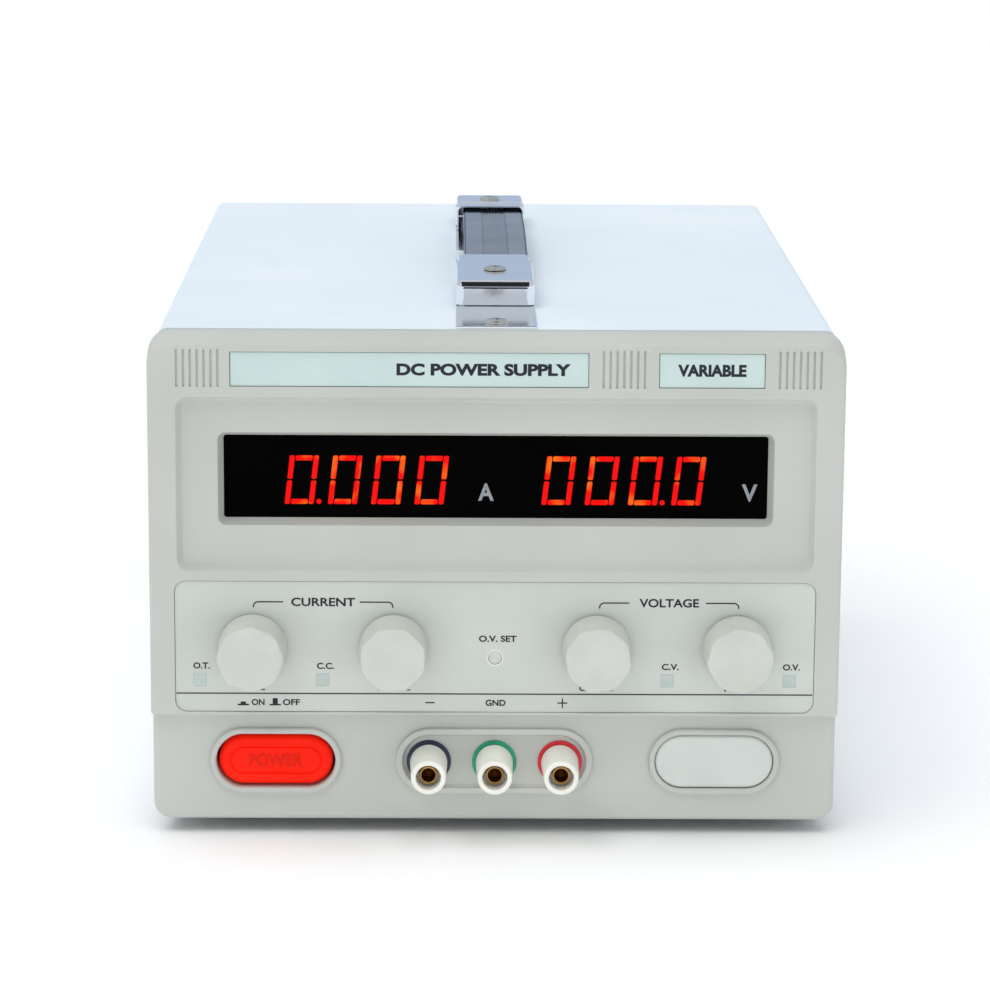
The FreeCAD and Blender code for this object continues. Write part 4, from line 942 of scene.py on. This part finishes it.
def makeDisplay():
    size = extent("display_window")
    profile = softProfile([(0, -display["thick"]), (0, 0, 0.3), (-2, 0)], 3)
    pane = sweep(profile, size.x, size.z, display["corner"], steps=6)
    piece("smoked_pane", placed(pane, inFront("display_window", display["pane"])), smokedAcrylic,
          stands=("display_window",))
    lit = []
    dark = []
    for start, pitch, dotAfter in display["rows"]:
        for index in range(display["digits"]):
            x = start + index * pitch
            bars = digitBars()
            for number, (offset, z, length, upright) in enumerate(bars):
                shape = leaned(segmentShape(length, offset, z, upright), x)
                (dark if number == 6 else lit).append(shape)
            if index == dotAfter:
                reach = display["stroke"] / 2
                dot = sweep([(reach, 0.02), (reach, 0.08)], steps=4)
                lit.append(placed(dot, at(x + display["digitWide"] / 2 + display["dotGap"], display["pane"],
                                          display["centre"] - display["digitTall"] / 2 + reach)))
    piece("lit_segments", together(*lit), litSegment)
    piece("unlit_segments", together(*dark), unlitSegment)
    units = together(*(letters(word, x, display["pane"], display["unitAt"], *display["unitSize"],
                               weight=0.025)
                       for word, x in display["units"]))
    piece("unit_letters", units, unitInk)


makeDisplay()
print("display ready")


# knobs

knob = {"flats": 8, "flatDepth": 0.5, "rim": 0.95, "hollow": 9.2, "hollowDeep": 5.4, "shaft": 3.2,
        "turns": {"current_fine": 22.5, "current_coarse": 0.0, "voltage_coarse": 9.0, "voltage_fine": 31.0}}


def makeKnob(name):
    node = name + "_knob"
    length = extent(node).y
    base = extent(node).x / 2
    face = base - 0.6
    step = math.tau / knob["flats"]
    turn = math.radians(knob["turns"][name])

    def flats(angle, reach, rise):
        # shallow flats that fade towards the round base
        swing = (angle - turn + step / 2) % step - step / 2
        fade = 1 + rise / length
        return min(reach, (reach - knob["flatDepth"] * fade) / math.cos(swing)) if reach > face / 2 else reach

    profile = softProfile([(knob["shaft"], -length + knob["hollowDeep"]),
                           (knob["hollow"], -length + knob["hollowDeep"]),
                           (knob["hollow"], -length), (base, -length, 0.4), (base - 0.1, -length + 3),
                           (face, 0, knob["rim"]), (face - 2.2, 0), (face - 2.6, -0.12), (2.0, -0.12)], 5)
    body = placed(sweep(profile, steps=26, form=flats), frontOf(node))
    piece(node + "_moulding", body, knobAbs, body=node, stands=(node,), sharp=24)


for knobName in knobNames:
    makeKnob(knobName)
print("knobs ready")


# lower section: rings, button, plug and terminals

ring = {"width": 50.7, "height": 26.0, "inset": 2.3, "proud": 2.2, "deep": 10.7, "round": 1.0}
button = {"width": 44.0, "height": 19.4, "deep": 8.0, "round": 1.8, "panel": 4.0, "groove": 0.7, "stem": 8.0,
          "word": (21.0, 5.3)}
plug = {"width": 45.8, "height": 20.9, "deep": 8.0, "round": 1.3}
surround = {"width": 76.0, "height": 26.0, "proud": 2.2, "round": 0.6, "flange": 2.4, "drop": 1.4,
            "slope": 1.0,
            "floor": 2.6}


def makeRings():
    inner = -ring["inset"]
    outline = [(inner, -ring["deep"]), (inner + 1, -ring["deep"]), (inner + 1, -ring["proud"]),
               (0, -ring["proud"]),
               (0, 0, ring["round"]), (inner, 0, ring["round"]), (inner, -ring["deep"])]
    shapes = [placed(sweep(softProfile(outline, 6), ring["width"], ring["height"], ring["height"] / 2,
                           steps=18),
                     at(x, bezel["lowerBack"] - ring["proud"], ovals["height"])) for x in ovals["ringAt"]]
    piece("oval_trim_rings", together(*shapes), bezelAbs, stands=("oval_rings",))


def makeButton():
    spot = frontOf("power_button")
    step = button["panel"]
    outline = [(0, -button["deep"]), (0, 0, button["round"]), (-step, 0, 0.1),
               (-step - 0.25, -button["groove"], 0.1),
               (-step - 0.7, -button["groove"], 0.1), (-step - 0.95, 0, 0.1), (-step - 2, 0)]
    cap = sweep(softProfile(outline, 5), button["width"], button["height"], button["height"] / 2, steps=18)
    stemLength = extent("power_button").y - button["deep"]
    stem = sweep([(0, -button["deep"] - stemLength), (0, -button["deep"] + 0.5)], button["stem"],
                 button["stem"], 0.5,
                 steps=2)
    body = placed(together(cap, stem), spot)
    # the cap's material carries a painted glow
    piece("power_button_cap", body, buttonPaintedGlow, body="power_button", stands=("power_button",))
    wide, tall = button["word"]
    word = letters("POWER", spot.x * 1000, (spot.y - frontPlane) * 1000, (spot.z - bezelFoot) * 1000, tall,
                   wide,
                   thick=0.28, weight=0.035)
    # the raised word carries painted shade and a painted glow in its material
    piece("power_button_relief", word, reliefPaintedShadeAndGlow, body="power_button")


def makePlug():
    outline = softProfile([(0, -plug["deep"]), (0, 0, plug["round"]), (-3, 0)], 6)
    body = sweep(outline, plug["width"], plug["height"], plug["height"] / 2, steps=18)
    piece("blank_plug_moulding", placed(body, frontOf("blank_plug")), plugAbs,
          stands=("blank_plug",))


def makeSurround():
    flange, slope, floor = surround["flange"], surround["slope"], surround["floor"]
    outline = [(-2, -7.7), (-2, -surround["proud"]), (0, -surround["proud"]), (0, 0, surround["round"]),
               (-flange, 0, surround["round"]), (-flange - 0.1, -surround["drop"], 0.1),
               (-flange - slope, -floor, 0.15), (-flange - slope - 1, -floor)]
    body = sweep(softProfile(outline, 5), surround["width"], surround["height"], surround["height"] / 2,
                 steps=18)
    placed(body, at(0, bezel["lowerBack"] - surround["proud"], ovals["height"]))
    piece("terminal_surround_moulding", body, bezelAbs, stands=("terminal_surround",))


post = {"ring": 8.6, "ringFront": 3.0, "ringThick": 2.9, "ringRound": 0.5, "stud": 3.5, "bore": 2.02,
        "boreDeep": 18.0, "mouth": 2.7, "mouthDeep": 6.0, "capBase": 7.25, "capFace": 6.65, "capRound": 0.7,
        "recess": 4.8, "recessDeep": 7.5}
postLooks = {"negative": (postNavy, "post_black"), "ground": (postGreen, "post_green"),
             "positive": (postRed, "post_red")}


def makePost(name):
    material, slot = postLooks[name]
    cap = name + "_post_cap"
    length = extent(cap).y
    bore = post["stud"] + 0.05
    outline = [(bore, -length), (post["capBase"], -length, 0.3), (post["capFace"], 0, post["capRound"]),
               (post["recess"], 0, 0.5), (post["recess"] - 0.15, -post["recessDeep"], 0.3),
               (bore, -post["recessDeep"]), (bore, -length)]
    body = placed(sweep(softProfile(outline, 6), steps=16), frontOf(cap))
    piece(cap + "_moulding", body, postCream, body=cap, stands=(cap,))
    node = name + "_post_ring"
    outline = [(bore, -post["ringThick"]), (post["ring"], -post["ringThick"]),
               (post["ring"], 0, post["ringRound"]),
               (bore, 0), (bore, -post["ringThick"])]
    body = placed(sweep(softProfile(outline, 5), steps=16), inFront(cap, post["ringFront"]))
    piece(node + "_moulding", body, material, stands=(node,))


def makeStuds():
    low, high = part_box("post_studs")
    length = (high[1] - low[1]) * 1000
    outline = [(0, -length), (post["stud"], -length, 0.4)]
    outline += [point for turn in range(int(length - 6))
                for point in ((post["stud"], -length + 2 + turn), (post["stud"] - 0.3, -length + 2.5 + turn))]
    outline += [(post["stud"], -3.5), (post["stud"], 0, 0.2), (post["mouth"], 0, 0.15),
                (post["mouth"] - 0.1, -post["mouthDeep"]), (post["bore"], -post["mouthDeep"] - 0.6),
                (post["bore"], -post["boreDeep"]), (0, -post["boreDeep"] - 0.8)]
    stud = sweep(softProfile(outline, 3), steps=8)
    places = [middle(name + "_post_cap") for name in postLooks]
    spots = [Matrix.Translation((place.x, low[1], place.z)) @ facings["front"] for place in places]
    piece("terminal_studs", again(stud, spots), turnedBrass, stands=("post_studs",))


makeRings()
makeButton()
makePlug()
makeSurround()
for postName in postLooks:
    makePost(postName)
makeStuds()
print("lower section ready")


# painted cover

cover = {"sheet": 1.0, "corner": 3.5, "rim": 0.25, "ventRows": 6, "ventLow": 34.0, "ventPitch": 7.0,
         "ventWidth": 2.6, "ventLength": 34.0, "ventColumns": (210.0, 252.0, 294.0)}


def makeCover():
    low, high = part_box("top_cover")
    bm = bmesh.new()
    chain = [bm.verts.new(corner) for corner in ((low[0], low[1], low[2]), (low[0], low[1], high[2]),
                                                 (high[0], low[1], high[2]), (high[0], low[1], low[2]))]
    for first, second in zip(chain, chain[1:]):
        bm.edges.new((first, second))
    bmesh.ops.bevel(bm, geom=chain[1:3], offset=mm(cover["corner"]), segments=10, affect="VERTICES",
                    profile=0.5,
                    material=-1)
    made = bmesh.ops.extrude_edge_only(bm, edges=bm.edges[:])["geom"]
    far = [item for item in made if isinstance(item, bmesh.types.BMVert)]
    bmesh.ops.translate(bm, verts=far, vec=(0, high[1] - low[1], 0))
    for face in bm.faces:
        # outwards is away from the middle of the case
        if face.normal.dot(face.calc_center_median() - Vector((0, 0, high[2] / 2))) < 0:
            face.normal_flip()
    bm.normal_update()
    bmesh.ops.solidify(bm, geom=bm.faces[:], thickness=mm(cover["sheet"]))
    bmesh.ops.recalc_face_normals(bm, faces=bm.faces)
    rims = [edge for edge in bm.edges if edge.calc_face_angle(0) > math.radians(60)]
    bmesh.ops.bevel(bm, geom=rims, offset=mm(cover["rim"]), segments=2, affect="EDGES", profile=0.5,
                    material=-1)
    slots = []
    for side, facing in ((low[0], "left"), (high[0], "right")):
        for row in range(cover["ventRows"]):
            for start in cover["ventColumns"]:
                slot = sweep([(0.3, 0.6), (0.3, 0.0), (0.08, -0.22), (0, -0.4), (0, -3)], cover["ventWidth"],
                             cover["ventLength"], cover["ventWidth"] / 2, steps=4)
                spot = at(0, start + cover["ventLength"] / 2,
                          cover["ventLow"] + row * cover["ventPitch"] + cover["ventWidth"] / 2)
                slots.append(placed(slot, Vector((side, spot.y, spot.z)), facing))
    body = joined(bm, together(*slots), "DIFFERENCE")
    piece("cover_sheet", body, coverPaint, stands=("top_cover",))


makeCover()
print("cover ready")


# strap handle

handle = {"width": 31.0, "plate": 1.0, "capWall": 11.0, "capMouth": 12.4, "step": 15.0, "trim": 0.7,
          "capRound": 2.4, "wallRound": 3.2, "sheet": 0.5, "seam": 0.3, "tongueRound": 4.0,
          "front": {"node": "front_handle_bracket", "foot": 12.8, "wall": 61.5, "mouth": 126.0,
                    "tongue": 189.0},
          "rear": {"node": "rear_handle_bracket", "foot": 368.0, "wall": 322.0, "mouth": 274.0,
                   "tongue": 211.0}}


def makeBracket(values):
    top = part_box("top_cover")[1][2]
    away = 1 if values["mouth"] > values["wall"] else -1
    wide = handle["width"]
    first, last = sorted((values["foot"], values["tongue"]))
    corner = handle["tongueRound"]
    radii = (corner, corner, 0.6, 0.6) if away > 0 else (0.6, 0.6, corner, corner)
    plateProfile = softProfile([(0, 0), (0, handle["plate"], 0.25), (-1.5, handle["plate"])], 3)
    plate = sweep(plateProfile, wide, last - first, radii, steps=8)
    placed(plate, Vector((0, frontPlane + mm((first + last) / 2), top)), "up")
    bm = bmesh.new()
    half = wide / 2
    base = handle["plate"] + handle["seam"]
    chain = [bm.verts.new((mm(x), 0, mm(z))) for x, z in ((-half, base), (-half, handle["capWall"]),
                                                         (half, handle["capWall"]), (half, base))]
    for start, end in zip(chain, chain[1:]):
        bm.edges.new((start, end))
    bmesh.ops.bevel(bm, geom=chain[1:3], offset=mm(handle["capRound"]), segments=6, affect="VERTICES",
                    profile=0.5,
                    material=-1)
    run = abs(values["mouth"] - values["wall"])
    climb = handle["capMouth"] - handle["capWall"]
    stations = ((0.0, 0.0), (run - handle["step"], 0.0), (run - handle["step"] + 0.7, handle["trim"]),
                (run, handle["trim"]))
    loop = bm.edges[:]
    arch = loop[:]
    before = stations[0]
    for station in stations[1:]:
        made = bmesh.ops.extrude_edge_only(bm, edges=loop)["geom"]
        loop = [item for item in made if isinstance(item, bmesh.types.BMEdge)]
        for vert in (item for item in made if isinstance(item, bmesh.types.BMVert)):
            squeeze = (half - station[1]) / (half - before[1])
            lift = climb * (station[0] - before[0]) / run - (station[1] - before[1]) * 0.6
            vert.co.x *= squeeze
            if vert.co.z > mm(handle["capWall"] / 2):
                vert.co.z += mm(lift)
            vert.co.y = mm(station[0])
        before = station
    bmesh.ops.contextual_create(bm, geom=arch)
    bmesh.ops.recalc_face_normals(bm, faces=bm.faces)
    wallEdges = [edge for edge in arch
                 if edge.is_valid and max(vert.co.z for vert in edge.verts) > mm(base + 0.1)]
    bmesh.ops.bevel(bm, geom=wallEdges, offset=mm(handle["wallRound"]), segments=6, affect="EDGES",
                    profile=0.5,
                    material=-1)
    for face in bm.faces:
        if face.normal.dot(face.calc_center_median() - Vector((0, mm(run / 2), mm(5)))) < 0:
            face.normal_flip()
    bm.normal_update()
    bmesh.ops.solidify(bm, geom=bm.faces[:], thickness=mm(handle["sheet"]))
    bmesh.ops.recalc_face_normals(bm, faces=bm.faces)
    if away < 0:
        bmesh.ops.rotate(bm, verts=bm.verts, cent=(0, 0, 0),
                         matrix=Matrix.Rotation(math.radians(180), 3, "Z"))
    bmesh.ops.translate(bm, verts=bm.verts, vec=(0, frontPlane + mm(values["wall"]), top))
    piece(values["node"] + "_pressing", together(plate, bm), platedSteel,
          stands=(values["node"],),
          sharp=22)


strap = {"thick": 4.0, "ribs": 8, "ribPitch": 1.3, "ribTall": 0.4, "edge": 0.9, "bend": 50.0}


def makeStrap():
    lowFront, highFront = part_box("front_strap_half")
    lowRear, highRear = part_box("rear_strap_half")
    wide = highFront[0] - lowFront[0]
    centre = (highFront[0] + lowFront[0]) / 2
    length = highRear[1] - lowFront[1]
    crest = highFront[2] - lowFront[2] - mm(strap["thick"])
    mouths = [frontPlane + mm(handle[end]["mouth"]) for end in ("front", "rear")]
    bm = bmesh.new()
    bmesh.ops.create_grid(bm, x_segments=88, y_segments=48, size=0.5)
    reach = strap["ribs"] * strap["ribPitch"] / 2
    for vert in bm.verts:
        x = vert.co.x * wide
        y = lowFront[1] + (vert.co.y + 0.5) * length
        share = (y - mouths[0]) / (mouths[1] - mouths[0])
        rise = math.sin(math.pi * share) ** 0.8 * crest if 0 < share < 1 else 0.0
        across = x * 1000
        wave = 0.5 - 0.5 * math.cos(math.tau * (across + reach) / strap["ribPitch"])
        rib = wave ** 2 if abs(across) < reach else 0.0
        dip = mm(strap["ribTall"]) if abs(across) < reach else 0.0
        vert.co = (centre + x, y, lowFront[2] + mm(strap["thick"]) + rise - dip + rib * mm(strap["ribTall"]))
    bmesh.ops.recalc_face_normals(bm, faces=bm.faces)
    if sum(face.normal.z for face in bm.faces) < 0:
        bmesh.ops.reverse_faces(bm, faces=bm.faces)
    bmesh.ops.solidify(bm, geom=bm.faces[:], thickness=mm(strap["thick"] - 0.5))
    bmesh.ops.recalc_face_normals(bm, faces=bm.faces)
    sides = [edge for edge in bm.edges if edge.calc_face_angle(0) > math.radians(65)
             and abs(abs((edge.verts[0].co.x + edge.verts[1].co.x) / 2 - centre) - wide / 2) < mm(0.6)]
    bmesh.ops.bevel(bm, geom=sides, offset=mm(strap["edge"]), segments=4, affect="EDGES", profile=0.5,
                    material=-1)
    bend = (lowRear[1] + highFront[1]) / 2
    span = mm(strap["bend"]) / 2
    ends = [Vector((centre, bend + side * span, highFront[2])) for side in (-1, 1)]
    piece("carrying_strap", bm, strapPvc, stands=("front_strap_half", "rear_strap_half"),
          between=("front_strap_half", "rear_strap_half", ends[0], ends[1]))


def crossScrew(head, tall, shank, length, recess):
    # pan head with a cross recess, standing on z = 0
    outline = softProfile([(0, -length), (shank, -length, 0.3), (shank, 0), (head, 0, 0.1),
                           (head, tall * 0.45, 0.2),
                           (head * 0.8, tall * 0.85, 0.6), (head * 0.4, tall, 0.8), (0, tall)], 4)
    body = sweep(outline, steps=9)
    arms = []
    for turn in (0, 90):
        arm = sweep([(-0.12, tall - recess), (0.06, tall + 1)], head, head * 0.24, head * 0.06, steps=2)
        bmesh.ops.rotate(arm, verts=arm.verts, cent=(0, 0, 0),
                         matrix=Matrix.Rotation(math.radians(turn + 8), 3, "Z"))
        arms.append(arm)
    for arm in arms:
        body = joined(body, arm, "DIFFERENCE")
    return body


handleScrews = {"footAt": (21.0, 358.0), "capAt": (87.0, 300.0), "capRise": 11.9, "footHead": (4.4, 1.7),
                "capHead": (4.5, 1.4)}


def makeHandleScrews():
    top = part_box("top_cover")[1][2]
    foot = again(crossScrew(*handleScrews["footHead"], 2.0, 6.0, 1.1),
                 [Matrix.Translation((0, frontPlane + mm(depth), top + mm(handle["plate"])))
                  for depth in handleScrews["footAt"]])
    caps = again(crossScrew(*handleScrews["capHead"], 2.0, 14.0, 0.8),
                 [Matrix.Translation((0, frontPlane + mm(depth), top + mm(handleScrews["capRise"] - 0.25)))
                  for depth in handleScrews["capAt"]])
    piece("handle_cross_screws", together(foot, caps), zincScrew, stands=("handle_screws",))


makeBracket(handle["front"])
makeBracket(handle["rear"])
makeStrap()
makeHandleScrews()
print("handle ready")


# carried-over nodes

carriedLooks = {
    "indicator_windows": lightPipe, "control_board": boardEpoxy, "display_board": boardEpoxy,
    "main_board": boardEpoxy, "digit_modules": blackNylon, "potentiometers": castZinc,
    "potentiometer_nuts": zincScrew, "trimmer_body": trimmerBlue,
    "power_switch": blackNylon, "post_nuts": turnedBrass, "bottom_chassis": galvanisedSheet,
    "rear_panel": galvanisedSheet, "case_screws": zincScrew, "feet": footRubber, "foot_screws": zincScrew,
    "fan_frame": fanPlastic, "fan_rotor": fanPlastic, "fan_guard": platedSteel, "mains_inlet": blackNylon,
    "inlet_pins": contactBrass, "fuse_drawer": blackNylon, "fuse": fuseGlass,
    "transformer_core": coreSteel, "transformer_winding": windingTape, "heatsinks": extrudedAluminium,
    "capacitors": capacitorSleeve,
}
for knobName in knobNames:
    carriedLooks[knobName + "_shaft"] = groundSteel
for postName in postLooks:
    carriedLooks[postName + "_post_washer"] = turnedBrass
for nodeName, look in carriedLooks.items():
    for slotOfNode in nodes[nodeName].material_slots:
        slotOfNode.material = look
print("carried-over nodes ready")
